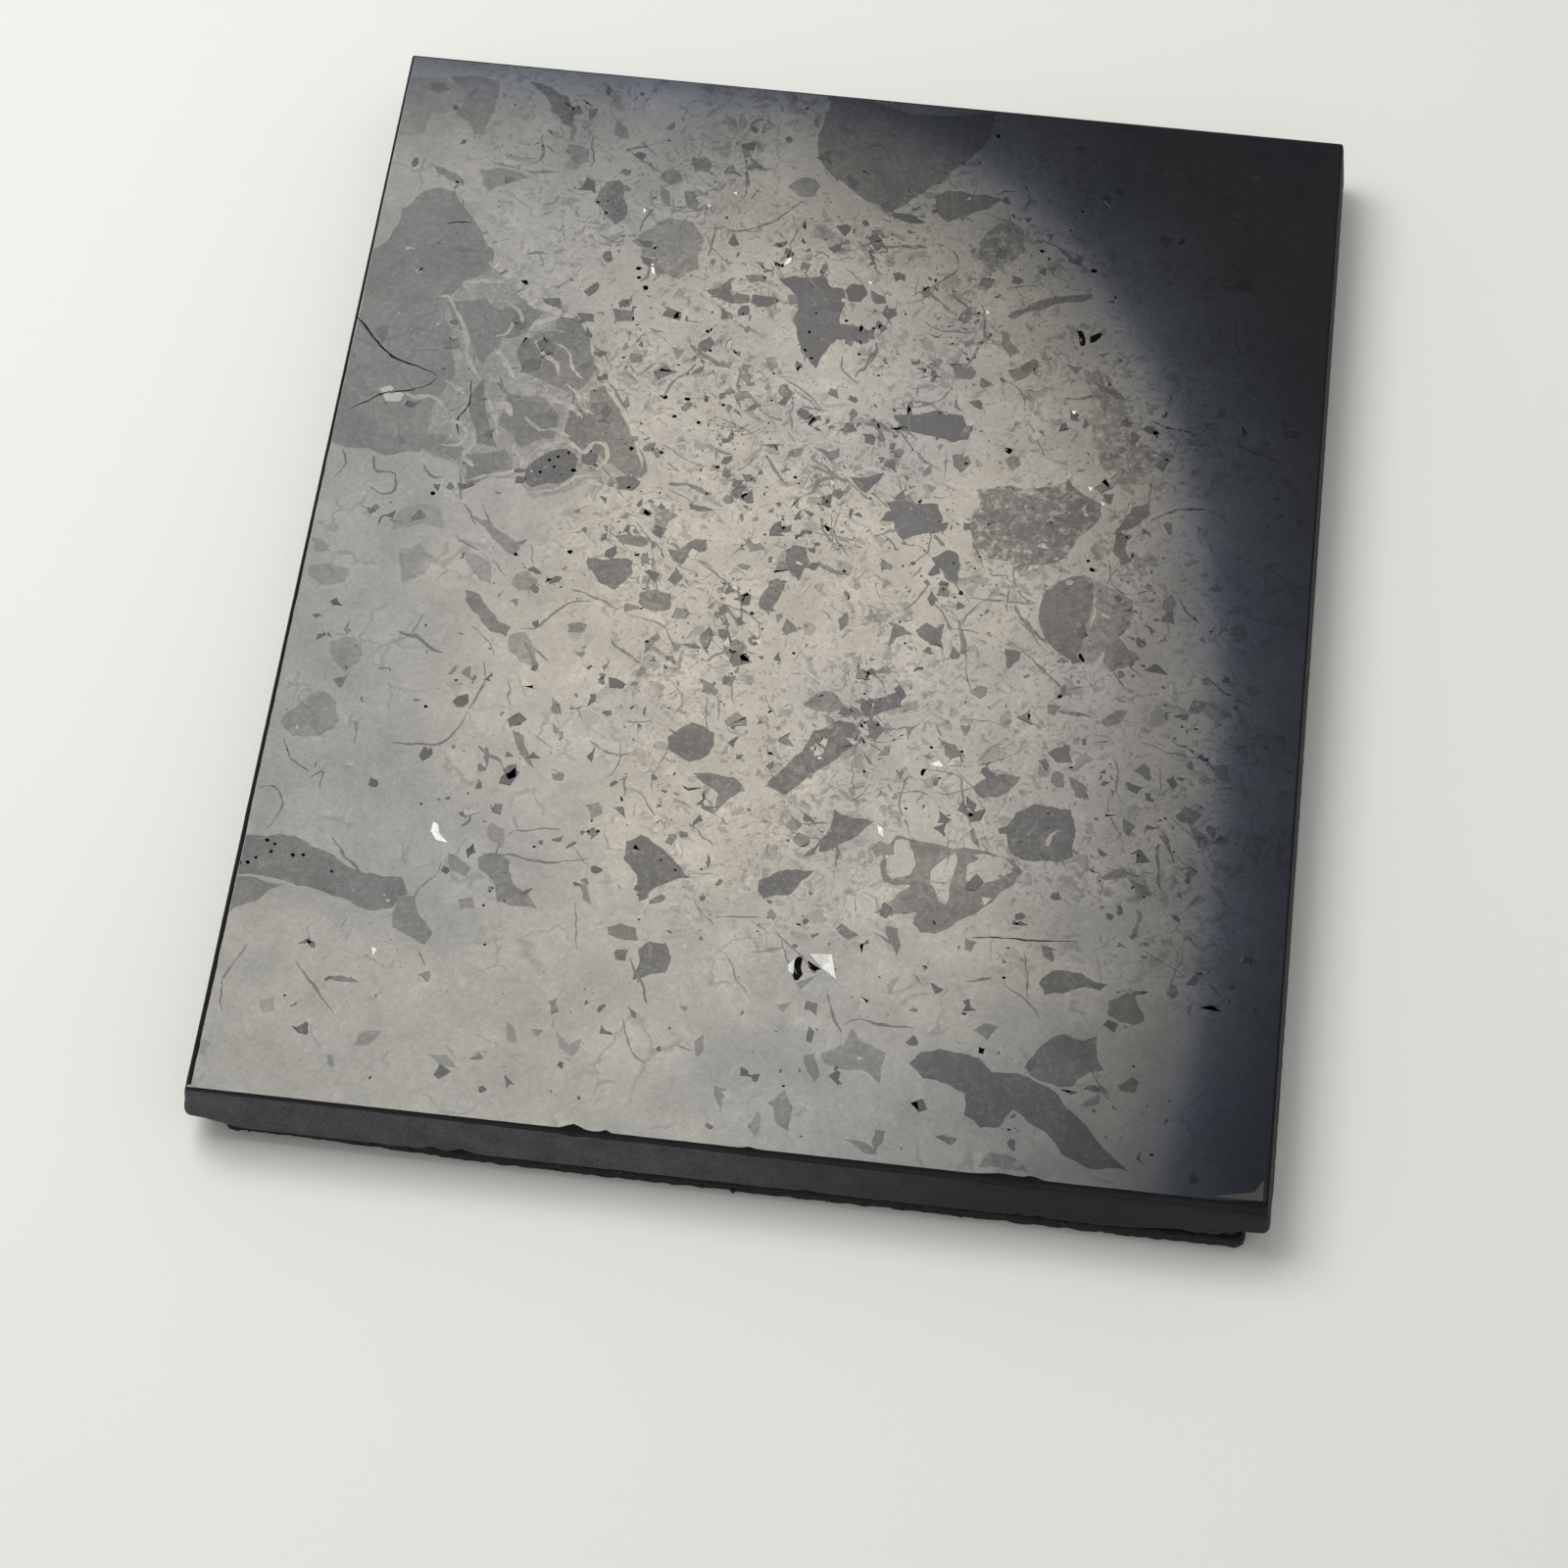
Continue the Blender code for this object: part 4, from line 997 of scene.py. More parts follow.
def sink_pits(bm, pits, narrowing=0.25):
    """Pushes each pit's faces down into a ragged hollow that narrows towards its middle."""
    for faces, depth in pits:
        made = bmesh.ops.extrude_face_region(bm, geom=faces)["geom"]
        bmesh.ops.delete(bm, geom=[face for face in faces if face.is_valid], context="FACES")
        verts = [item for item in made if isinstance(item, bmesh.types.BMVert)]
        middle = sum((vert.co for vert in verts), Vector()) / len(verts)
        for vert in verts:
            vert.co.x = mix(vert.co.x, middle.x, narrowing)
            vert.co.y = mix(vert.co.y, middle.y, narrowing)
            vert.co.z -= depth * MM * (0.8 + 0.4 * noise.random())
        for face in {face for vert in verts for face in vert.link_faces}:
            # The pit walls take the pit material, painted near-black as shade.
            face.material_index = PIT_SLOT


def polished_face(bm, ring, border, source):
    """Fills the face with triangles that follow every clast and pit, and marks what each one is."""
    marks = {name: bm.faces.layers.float.new(name) for name in ("tone", "speckle", "scuff")}
    outlines = face_outlines(source)
    points = list(border)
    loops = [list(range(len(border)))]
    for outline, *_ in outlines:
        loops.append(list(range(len(points), len(points) + len(outline))))
        points += outline
    flat, _, triangles, origins, _, owners = delaunay_2d_cdt(points, [], loops, 1, 1e-7)
    spans = []
    for outline, *_ in outlines:
        across, along = [point.x for point in outline], [point.y for point in outline]
        spans.append((min(across), max(across), min(along), max(along)))
    verts = []
    for place, came_from in zip(flat, origins):
        on_border = [k for k in came_from if k < len(ring)]
        verts.append(ring[on_border[0]] if on_border else bm.verts.new((*place, FACE_Z)))
    pits = {}
    for corners, owner in zip(triangles, owners):
        if 0 not in owner:
            continue
        face = bm.faces.new([verts[k] for k in corners])
        top = topmost(outlines, spans, sum((flat[k] for k in corners), Vector((0, 0))) / 3)
        if top is None:
            continue
        _, tone, speckle, depth, scuff = outlines[top]
        face[marks["tone"]] = tone
        face[marks["speckle"]] = speckle
        face[marks["scuff"]] = scuff
        if depth:
            pits.setdefault(top, ([], depth))[0].append(face)
    sink_pits(bm, list(pits.values()))
    bmesh.ops.delete(bm, geom=[vert for vert in bm.verts if not vert.link_faces], context="VERTS")


class SLAB_OT_stone(bpy.types.Operator):
    """Build the polished stone with its clasts, pits, eased edge and ground sides"""

    bl_idname = "slab.stone"
    bl_label = "Polished stone"

    def execute(self, context):
        stone = context.scene.slab_stone
        source = random.Random(stone.seed)
        noise.seed_set(stone.seed)
        bm = bmesh.new()
        rings, border = stone_rings(bm)
        for k, (upper, lower) in enumerate(zip(rings, rings[1:])):
            bridge(bm, upper, lower, ARRIS_SLOT if k < len(ARRIS_TURNS) else SIDE_SLOT)
        bm.faces.new(list(reversed(rings[-1]))).material_index = SIDE_SLOT
        polished_face(bm, rings[0], border, source)
        bmesh.ops.recalc_face_normals(bm, faces=bm.faces)
        # The pits leave their faces in no fixed order, so all are put in order along a slanted line.
        slant = Vector((1.0, 0.6173, 0.3719))
        bm.faces.sort(key=lambda face: face.calc_center_median().dot(slant))
        materials = [
            polished_breccia(),
            # Honed breccia: the eased edge is too narrow to polish, so it stays satin; its near-black
            # colour is a painted reflection of the dark room.
            rough_surface("honed_breccia_painted_dark", (stone.arris, shaded(stone.arris, 0.6)), 3.0, 0.5, 0.4,
                          gloss=0.15),
            # Ground breccia: 0.1 mm grit leaves the sides matt grey; drawn at 0.2 mm, so that it shows.
            # The sides are painted darker towards their right end as shade.
            rough_surface("ground_breccia", (stone.ground, shaded(stone.ground, 2.8)), 5.0, 0.75, 0.9,
                          relief=0.12 * MM, gloss=0.2, painted_shade=0.9),
            # Open pits: broken stone painted near-black as the shade inside them; the flat open cracks and
            # pore specks take the same painted shade.
            rough_surface("broken_breccia_painted_shade", (linear("0B0B0C"), linear("17120F")), 4.0, 0.8, 1.0),
        ]
        piece = link_mesh("polished_stone_slab", bm, materials)
        finish_piece(piece, "polished_stone", "stone_slab")
        return {"FINISHED"}


def new_tree(name, sockets):
    """A geometry tree with named inputs, given as (name, socket type, default)."""
    tree = bpy.data.node_groups.new(name, "GeometryNodeTree")
    tree.interface.new_socket("Geometry", in_out="INPUT", socket_type="NodeSocketGeometry")
    for label, kind, default in sockets:
        socket = tree.interface.new_socket(label, in_out="INPUT", socket_type=kind)
        if default is not None:
            socket.default_value = default
    tree.interface.new_socket("Geometry", in_out="OUTPUT", socket_type="NodeSocketGeometry")
    return tree, tree.nodes.new("NodeGroupInput").outputs


def end_tree(tree, shape, material):
    """Realize Instances and Set Material, then the tree's output."""
    shape = add(tree, "GeometryNodeRealizeInstances", {"Geometry": shape})
    shape = add(tree, "GeometryNodeSetShadeSmooth", {"Geometry": shape, "Shade Smooth": False})
    shape = add(tree, "GeometryNodeSetMaterial", {"Geometry": shape, "Material": material})
    add(tree, "NodeGroupOutput", {0: shape})


def grow(name, host, tree, values):
    """Runs a tree on its host, keeps the result as a plain mesh at the origin and drops the host."""
    modifier = host.modifiers.new(name, "NODES")
    modifier.node_group = tree
    for item in tree.interface.items_tree:
        if item.item_type == "SOCKET" and item.name in values:
            modifier[item.identifier] = values[item.name]
    graph = bpy.context.evaluated_depsgraph_get()
    mesh = bpy.data.meshes.new_from_object(host.evaluated_get(graph))
    if not mesh.polygons:
        raise RuntimeError(f"{name} grew nothing")
    mesh.name = name
    mesh.materials.clear()
    mesh.materials.append(values["Material"])
    mesh.polygons.foreach_set("material_index", [0] * len(mesh.polygons))
    bpy.data.objects.remove(host)
    piece = bpy.data.objects.new(name, mesh)
    bpy.context.scene.collection.objects.link(piece)
    return piece


def ragged_push(tree, scale, detail, reach, spread):
    """A push this way and that from noise, as far as reach says and spread over the axes."""
    here = add(tree, "GeometryNodeInputPosition")
    push = add(tree, "ShaderNodeTexNoise", {"Vector": here, "Scale": scale, "Detail": detail}, out="Color")
    push = add(tree, "ShaderNodeVectorMath", {0: push, 1: (0.5, 0.5, 0.5)}, operation="SUBTRACT")
    push = add(tree, "ShaderNodeVectorMath", {0: push, "Scale": reach}, operation="SCALE")
    return add(tree, "ShaderNodeVectorMath", {0: push, 1: spread}, operation="MULTIPLY")


def chance_of_size(tree, given, power):
    """A random size from Smallest to Largest; the higher the power, the fewer the large ones."""
    pick = add(tree, "FunctionNodeRandomValue", {"Seed": given["Seed"]}, out=1)
    small = add(tree, "ShaderNodeMath", {0: pick, 1: power}, operation="POWER")
    return add(tree, "ShaderNodeMapRange",
               {"Value": small, "To Min": given["Smallest"], "To Max": given["Largest"]})


def fragment_tree():
    """Scatters flat six-sided splinters, many small and a few large, each bent out of true."""
    tree, given = new_tree("rock_fragment_scatter", (
        ("Density", "NodeSocketFloat", 1.0), ("Smallest", "NodeSocketFloat", 0.0001),
        ("Largest", "NodeSocketFloat", 0.001), ("Thickness", "NodeSocketFloat", 0.0001),
        ("Palest", "NodeSocketFloat", 0.3), ("Darkest", "NodeSocketFloat", 1.0),
        ("Seed", "NodeSocketInt", 0), ("Material", "NodeSocketMaterial", None),
    ))
    local = add(tree, "GeometryNodeInputNamedAttribute", {"Name": "crowding"}, data_type="FLOAT")
    density = add(tree, "ShaderNodeMath", {0: local, 1: given["Density"]}, operation="MULTIPLY")
    points = add(tree, "GeometryNodeDistributePointsOnFaces",
                 {"Mesh": given["Geometry"], "Density": density, "Seed": given["Seed"]})
    size = chance_of_size(tree, given, 3.6)
    chances = []
    for shift, low, high in (
        (1.0, 0.28, 1.0), (2.0, 0.0, math.tau), (3.0, given["Palest"], given["Darkest"]),
    ):
        seed = add(tree, "ShaderNodeMath", {0: given["Seed"], 1: shift}, operation="ADD")
        chances.append(add(tree, "FunctionNodeRandomValue", {2: low, 3: high, "Seed": seed}, out=1))
    slim, angle, tone = chances
    breadth = add(tree, "ShaderNodeMath", {0: size, 1: slim}, operation="MULTIPLY")
    scale = add(tree, "ShaderNodeCombineXYZ", {0: size, 1: breadth, 2: 1.0})
    turn = add(tree, "ShaderNodeCombineXYZ", {2: angle})
    chip = add(tree, "GeometryNodeMeshCone", {"Vertices": 6, "Radius Top": 0.94, "Radius Bottom": 1.0,
                                              "Depth": given["Thickness"]})
    placed = add(tree, "GeometryNodeInstanceOnPoints",
                 {"Points": points, "Instance": chip, "Rotation": turn, "Scale": scale})
    for name, value in (("tone", tone), ("chip_size", size)):
        placed = add(tree, "GeometryNodeStoreNamedAttribute",
                     {"Geometry": placed, "Name": name, "Value": value},
                     data_type="FLOAT", domain="INSTANCE")
    real = add(tree, "GeometryNodeRealizeInstances", {"Geometry": placed})
    reach = add(tree, "GeometryNodeInputNamedAttribute", {"Name": "chip_size"}, data_type="FLOAT")
    push = ragged_push(tree, 2600.0, 1.0, reach, (3.4, 3.4, 0.0))
    bent = add(tree, "GeometryNodeSetPosition", {"Geometry": real, "Offset": push})
    end_tree(tree, bent, given["Material"])
    return tree


def crowding(x, y):
    """Share of full density at a point in millimetres: thick in the crushed middle, thin elsewhere."""
    total = SPARSE
    for share, middle_x, middle_y, across, along in CROWDS:
        total += share * math.exp(-(((x - middle_x) / across) ** 2) - ((y - middle_y) / along) ** 2)
    patch = 0.5 + noise.noise(Vector((x, y, 4)) * 0.16)
    fine = 0.6 + 1.2 * max(noise.noise(Vector((x, y, 9)) * 0.45), -0.45)
    return total * max(patch, 0.1) * fine


def fragment_host(height):
    """A fine grid over the face that says how crowded each place is."""
    half_x, half_y = EDGE_X - 1.6 * MM, EDGE_Y - 1.8 * MM
    bm = bmesh.new()
    bmesh.ops.create_grid(bm, x_segments=96, y_segments=120, size=1.0)
    layer = bm.verts.layers.float.new("crowding")
    for vert in bm.verts:
        vert.co = Vector((vert.co.x * half_x, vert.co.y * half_y, height))
        vert[layer] = crowding(vert.co.x / MM, vert.co.y / MM)
    return link_mesh("fragment_host", bm, ())


class SLAB_OT_fragments(bpy.types.Operator):
    """Scatter the small dark and pale rock fragments through the polished face"""

    bl_idname = "slab.fragments"
    bl_label = "Rock fragments"

    def execute(self, context):
        chips = context.scene.slab_fragments
        tree = fragment_tree()
        stone = bpy.data.materials["polished_breccia"]
        pore_shade = bpy.data.materials["broken_breccia_painted_shade"]
        kinds = (
            ("dark_fragments", 1.2, 0.50, 1.0, 0, chips.largest, stone),
            ("pale_fragments", 0.30, -0.22, -0.06, 40, chips.largest * 0.8, stone),
            # Pore specks: tiny flat flecks painted near-black as the shade in open pores.
            ("pore_shade_specks", 0.28, 1.0, 1.0, 80, chips.largest * 0.27, pore_shade),
        )
        # Each kind stands a little higher than the one before, so that no two tops share a plane.
        for layer, (name, share, palest, darkest, shift, largest, material) in enumerate(kinds):
            height = FACE_Z - chips.thickness + chips.proud * (1 + 0.4 * layer)
            piece = grow(name, fragment_host(height), tree, {
                "Density": chips.density * share, "Smallest": chips.smallest, "Largest": largest,
                "Thickness": chips.thickness, "Palest": palest, "Darkest": darkest,
                "Seed": chips.seed + shift, "Material": material,
            })
            finish_piece(piece, "polished_stone")
        return {"FINISHED"}


def seam_tree():
    """Sweeps a flat strip along each line, tapered at both ends and wandering a little."""
    tree, given = new_tree("seam_sweep", (
        ("Step", "NodeSocketFloat", 0.0003), ("Wander", "NodeSocketFloat", 0.0002),
        ("Flatness", "NodeSocketFloat", 0.06), ("Tone", "NodeSocketFloat", 0.0),
        ("Material", "NodeSocketMaterial", None),
    ))
    line = add(tree, "GeometryNodeMeshToCurve", {0: given["Geometry"]})
    line = add(tree, "GeometryNodeCurveSplineType", {0: line}, spline_type="CATMULL_ROM")
    line = add(tree, "GeometryNodeResampleCurve", {"Curve": line, "Length": given["Step"]}, mode="LENGTH")
    push = ragged_push(tree, 900.0, 2.0, given["Wander"], (2.0, 2.0, 0.0))
    line = add(tree, "GeometryNodeSetPosition", {"Geometry": line, "Offset": push})
    line = add(tree, "GeometryNodeSetCurveNormal", {"Curve": line}, mode="Z_UP")
    width = add(tree, "GeometryNodeInputNamedAttribute", {"Name": "half_width"}, data_type="FLOAT")
    along = add(tree, "GeometryNodeSplineParameter")
    back = add(tree, "ShaderNodeMath", {0: 1.0, 1: along}, operation="SUBTRACT")
    taper = add(tree, "ShaderNodeMath", {0: along, 1: back}, operation="MULTIPLY")
    taper = add(tree, "ShaderNodeMath", {0: taper, 1: 0.5}, operation="POWER")
    taper = add(tree, "ShaderNodeMath", {0: taper, 1: 1.8, 2: 0.1}, operation="MULTIPLY_ADD")
    here = add(tree, "GeometryNodeInputPosition")
    swell = add(tree, "ShaderNodeTexNoise", {"Vector": here, "Scale": 800.0, "Detail": 2.0})
    swell = add(tree, "ShaderNodeMath", {0: swell, 1: 4.4, 2: -0.9}, operation="MULTIPLY_ADD")
    swell = add(tree, "ShaderNodeMath", {0: swell, 1: 0.3}, operation="MAXIMUM")
    scale = add(tree, "ShaderNodeMath", {0: width, 1: taper}, operation="MULTIPLY")
    scale = add(tree, "ShaderNodeMath", {0: scale, 1: swell}, operation="MULTIPLY")
    profile = add(tree, "GeometryNodeCurvePrimitiveQuadrilateral",
                  {"Width": 2.0, "Height": given["Flatness"]})
    strip = add(tree, "GeometryNodeCurveToMesh",
                {"Curve": line, "Profile Curve": profile, "Scale": scale, "Fill Caps": True})
    strip = add(tree, "GeometryNodeStoreNamedAttribute",
                {"Geometry": strip, "Name": "tone", "Value": given["Tone"]},
                data_type="FLOAT", domain="POINT")
    end_tree(tree, strip, given["Material"])
    return tree


def stray_seams(count, seed):
    """Short healed seams that run with the flow through the crushed middle, as (half width, points)."""
    source = random.Random(seed)
    flow, scatter, turn, stride = -52, 34, 0.26, 0.9
    lines = []
    while len(lines) < count:
        x, y = source.uniform(-43, 43), source.uniform(-54, 54)
        if source.random() > crowding(x, y):
            continue
        heading = math.radians(source.gauss(flow, scatter))
        points = [(x, y)]
        for _ in range(source.randint(2, 6)):
            heading += source.gauss(0, turn)
            x += stride * math.cos(heading)
            y += stride * math.sin(heading)
            points.append((x, y))
        lines.append((0.045 + 0.13 * source.random() ** 4, points))
    return lines


def seam_host(lines, height):
    """The seams' centre lines as bare edges that carry their half width."""
    bm = bmesh.new()
    layer = bm.verts.layers.float.new("half_width")
    for half_width, points in lines:
        verts = [bm.verts.new((x * MM, y * MM, height)) for x, y in points]
        for vert in verts:
            vert[layer] = half_width * MM
        for start, end in zip(verts, verts[1:]):
            bm.edges.new((start, end))
    return link_mesh("seam_host", bm, ())


class SLAB_OT_seams(bpy.types.Operator):
    """Lay the pale flow ribbons, the healed seams and the open cracks along their lines"""

    bl_idname = "slab.seams"
    bl_label = "Ribbons, seams and cracks"

    def execute(self, context):
        seams = context.scene.slab_seams
        tree = seam_tree()
        stone = bpy.data.materials["polished_breccia"]
        kinds = (
            ("flow_ribbons", RIBBONS, -0.02, 1.0, stone),
            ("healed_seams", SEAMS + tuple(stray_seams(seams.strays, seams.seed)), 0.60, 1.0, stone),
            # The open cracks lie flat on the face, painted near-black as the shade inside them.
            ("open_cracks_painted_shade", CRACKS, 1.0, 0.7, bpy.data.materials["broken_breccia_painted_shade"]),
        )
        for name, lines, tone, wander, material in kinds:
            piece = grow(name, seam_host(lines, FACE_Z + 0.004 * MM), tree, {
                "Step": seams.step, "Wander": seams.wander * wander, "Flatness": seams.flatness,
                "Tone": tone, "Material": material,
            })
            finish_piece(piece, "polished_stone")
        return {"FINISHED"}


def add_tile(bm, outline, heights, depth):
    """A closed flat tile: a top outline at the given heights over a bottom one that much lower."""
    upper = [bm.verts.new((x * MM, y * MM, z)) for (x, y), z in zip(outline, heights)]
    lower = [bm.verts.new((vert.co.x, vert.co.y, vert.co.z - depth)) for vert in upper]
    faces = [bm.faces.new(upper), bm.faces.new(list(reversed(lower)))]
    faces += bridge(bm, upper, lower, 0, False)
    return faces


class SLAB_OT_crystals(bpy.types.Operator):
    """Set the white crystal flecks and the cavity's cleavage faces"""

    bl_idname = "slab.crystals"
    bl_label = "Crystal flecks"

    def execute(self, context):
        bm = bmesh.new()
        layer = bm.faces.layers.float.new("whiteness_and_facet_light")
        top = FACE_Z + 0.015 * MM
        tiles = [(0.85, 0.0, outline, 0.1 * MM) for outline in FLECKS]
        tiles += [(*facet, 0.3 * MM) for facet in VUG_FACETS]
        for whiteness_and_facet_light, lift, outline, depth in tiles:
            heights = [top + lift * MM] + [top] * (len(outline) - 1)
            for face in add_tile(bm, outline, heights, depth):
                face[layer] = whiteness_and_facet_light
        bmesh.ops.recalc_face_normals(bm, faces=bm.faces)
        bmesh.ops.triangulate(bm, faces=bm.faces)
        piece = link_mesh("crystal_flecks", bm, [calcite_fleck()])
        finish_piece(piece, "polished_stone")
        return {"FINISHED"}


def ragged_sheet(name, inset, levels, tear, material):
    """The pad's outline as a torn sheet; levels are (height, extra inset), from the top down."""
    half_x, half_y = (PAD_HIGH.x - PAD_LOW.x) / 2 - inset, (PAD_HIGH.y - PAD_LOW.y) / 2 - inset
    centre = ((PAD_HIGH.x + PAD_LOW.x) / 2, (PAD_HIGH.y + PAD_LOW.y) / 2)
    around = rim(half_x, half_y, 1.0 * MM, 0.35 * MM, centre)
    setback = bpy.context.scene.slab_backing.setback
    bm = bmesh.new()
    rings = []
    for z, extra in levels:
        ring = []
        for point, out in around:
            place = Vector((point.x, point.y, z))
            ragged = noise.noise(place * 700) + 0.6 * noise.noise(place * 2100)
            back = setback * smooth(point.x / MM, -15, -46) * max(-out.y, 0)
            ring.append((*(point + out * (tear * ragged - extra - back)), z))
        rings.append(add_ring(bm, ring))
    for upper, lower in zip(rings, rings[1:]):
        bridge(bm, upper, lower)
    bm.faces.new(rings[0])
    bm.faces.new(list(reversed(rings[-1])))
    bmesh.ops.recalc_face_normals(bm, faces=bm.faces)
    return link_mesh(name, bm, [material])


def crumb_tree():
    """Drops small ragged crumbs along a line."""
    tree, given = new_tree("rubber_crumb_scatter", (
        ("Count", "NodeSocketInt", 100), ("Smallest", "NodeSocketFloat", 0.0001),
        ("Largest", "NodeSocketFloat", 0.0003), ("Spread", "NodeSocketFloat", 0.0004),
        ("Seed", "NodeSocketInt", 0), ("Material", "NodeSocketMaterial", None),
    ))
    line = add(tree, "GeometryNodeMeshToCurve", {0: given["Geometry"]})
    points = add(tree, "GeometryNodeCurveToPoints", {"Curve": line, "Count": given["Count"]})
    wide = add(tree, "ShaderNodeCombineXYZ", {0: given["Spread"], 1: given["Spread"], 2: 0.0006})
    narrow = add(tree, "ShaderNodeVectorMath", {0: wide, "Scale": -1.0}, operation="SCALE")
    shift = add(tree, "FunctionNodeRandomValue", {0: narrow, 1: wide, "Seed": given["Seed"]},
                data_type="FLOAT_VECTOR")
    points = add(tree, "GeometryNodeSetPosition", {"Geometry": points, "Offset": shift})
    size = chance_of_size(tree, given, 2.5)
    spin = add(tree, "FunctionNodeRandomValue", {1: (math.tau,) * 3, "Seed": given["Seed"]},
               data_type="FLOAT_VECTOR")
    crumb = add(tree, "GeometryNodeMeshIcoSphere", {"Radius": 1.0, "Subdivisions": 1})
    placed = add(tree, "GeometryNodeInstanceOnPoints",
                 {"Points": points, "Instance": crumb, "Rotation": spin, "Scale": size})
    real = add(tree, "GeometryNodeRealizeInstances", {"Geometry": placed})
    push = ragged_push(tree, 4000.0, 1.0, given["Largest"], (1.0, 1.0, 1.0))
    rough = add(tree, "GeometryNodeSetPosition", {"Geometry": real, "Offset": push})
    end_tree(tree, rough, given["Material"])
    return tree


class SLAB_OT_backing(bpy.types.Operator):
    """Build the rubber backing with its torn edge, the adhesive line above it and the crumbs along it"""

    bl_idname = "slab.backing"
    bl_label = "Rubber backing"

    def execute(self, context):
        backing = context.scene.slab_backing
        # Sheet rubber: black and matt, a little greyer where it was cut.
        rubber = rough_surface("sheet_rubber", (backing.rubber, shaded(backing.rubber, 0.5)),
                               2.2, 0.85, 0.8)
        # Contact adhesive: dark brown, satin, squeezed out in lumps.
        glue = rough_surface("contact_adhesive", (backing.glue, shaded(backing.glue, 0.35)),
                             1.6, 0.5, 0.9)
        step = PAD_HIGH.z / 4
        levels = (
            (PAD_HIGH.z + 0.3 * MM, 0.35 * MM), (PAD_HIGH.z + 0.15 * MM, 0.1 * MM), (step * 3, 0.0),
            (step * 2, 0.05 * MM), (step, 0.0), (0.1 * MM, 0.12 * MM), (0.0, 0.3 * MM),
        )
        pad = ragged_sheet("rubber_backing", 0.25 * MM, levels, backing.tear, rubber)
        finish_piece(pad, "rubber_backing", "backing_pad")
        bottom = PAD_HIGH.z + 0.25 * MM
        top = STONE_LOW.z - 0.01 * MM
        levels = (
            (top, 0.4 * MM), (mix(bottom, top, 0.7), 0.0),
            (mix(bottom, top, 0.3), 0.1 * MM), (bottom, 0.5 * MM),
        )
        film = ragged_sheet("adhesive_line", 0.7 * MM, levels, backing.tear * 1.6, glue)
        finish_piece(film, "adhesive", "adhesive_film")
        left, right, near = PAD_LOW.x / MM + 0.8, PAD_HIGH.x / MM - 0.8, PAD_LOW.y / MM + 0.4
        line = ((1.0, ((left, near + backing.setback / MM), (-15, near), (right, near))),)
        crumbs = grow("rubber_crumbs", seam_host(line, 0.95 * MM), crumb_tree(), {
            "Count": backing.crumbs, "Smallest": 0.08 * MM, "Largest": 0.26 * MM, "Spread": 0.25 * MM,
            "Seed": backing.seed, "Material": glue,
        })
        finish_piece(crumbs, "rubber_backing")
        return {"FINISHED"}


def sky_patch(tree, parts, rise, place, open_left=False):
    """1 on the rim of a squarish patch of sky and less inside it; an open one has no left side."""
    centre, half, power = place
    terms = []
    for axis, middle, reach in zip((0, 1), centre, half):
        off = add(tree, "ShaderNodeMath", {0: parts[axis], 1: rise}, operation="DIVIDE")
        off = add(tree, "ShaderNodeMath", {0: off, 1: middle}, operation="SUBTRACT")
        off = add(tree, "ShaderNodeMath", {0: off, 1: reach}, operation="DIVIDE")
        if open_left and axis == 0:
            off = add(tree, "ShaderNodeMath", {0: off, 1: 0.0}, operation="MAXIMUM")
        else:
            off = add(tree, "ShaderNodeMath", {0: off}, operation="ABSOLUTE")
        terms.append(add(tree, "ShaderNodeMath", {0: off, 1: power}, operation="POWER"))
    total = add(tree, "ShaderNodeMath", {0: terms[0], 1: terms[1]}, operation="ADD")
    return add(tree, "ShaderNodeMath", {0: total, 1: 1 / power}, operation="POWER")


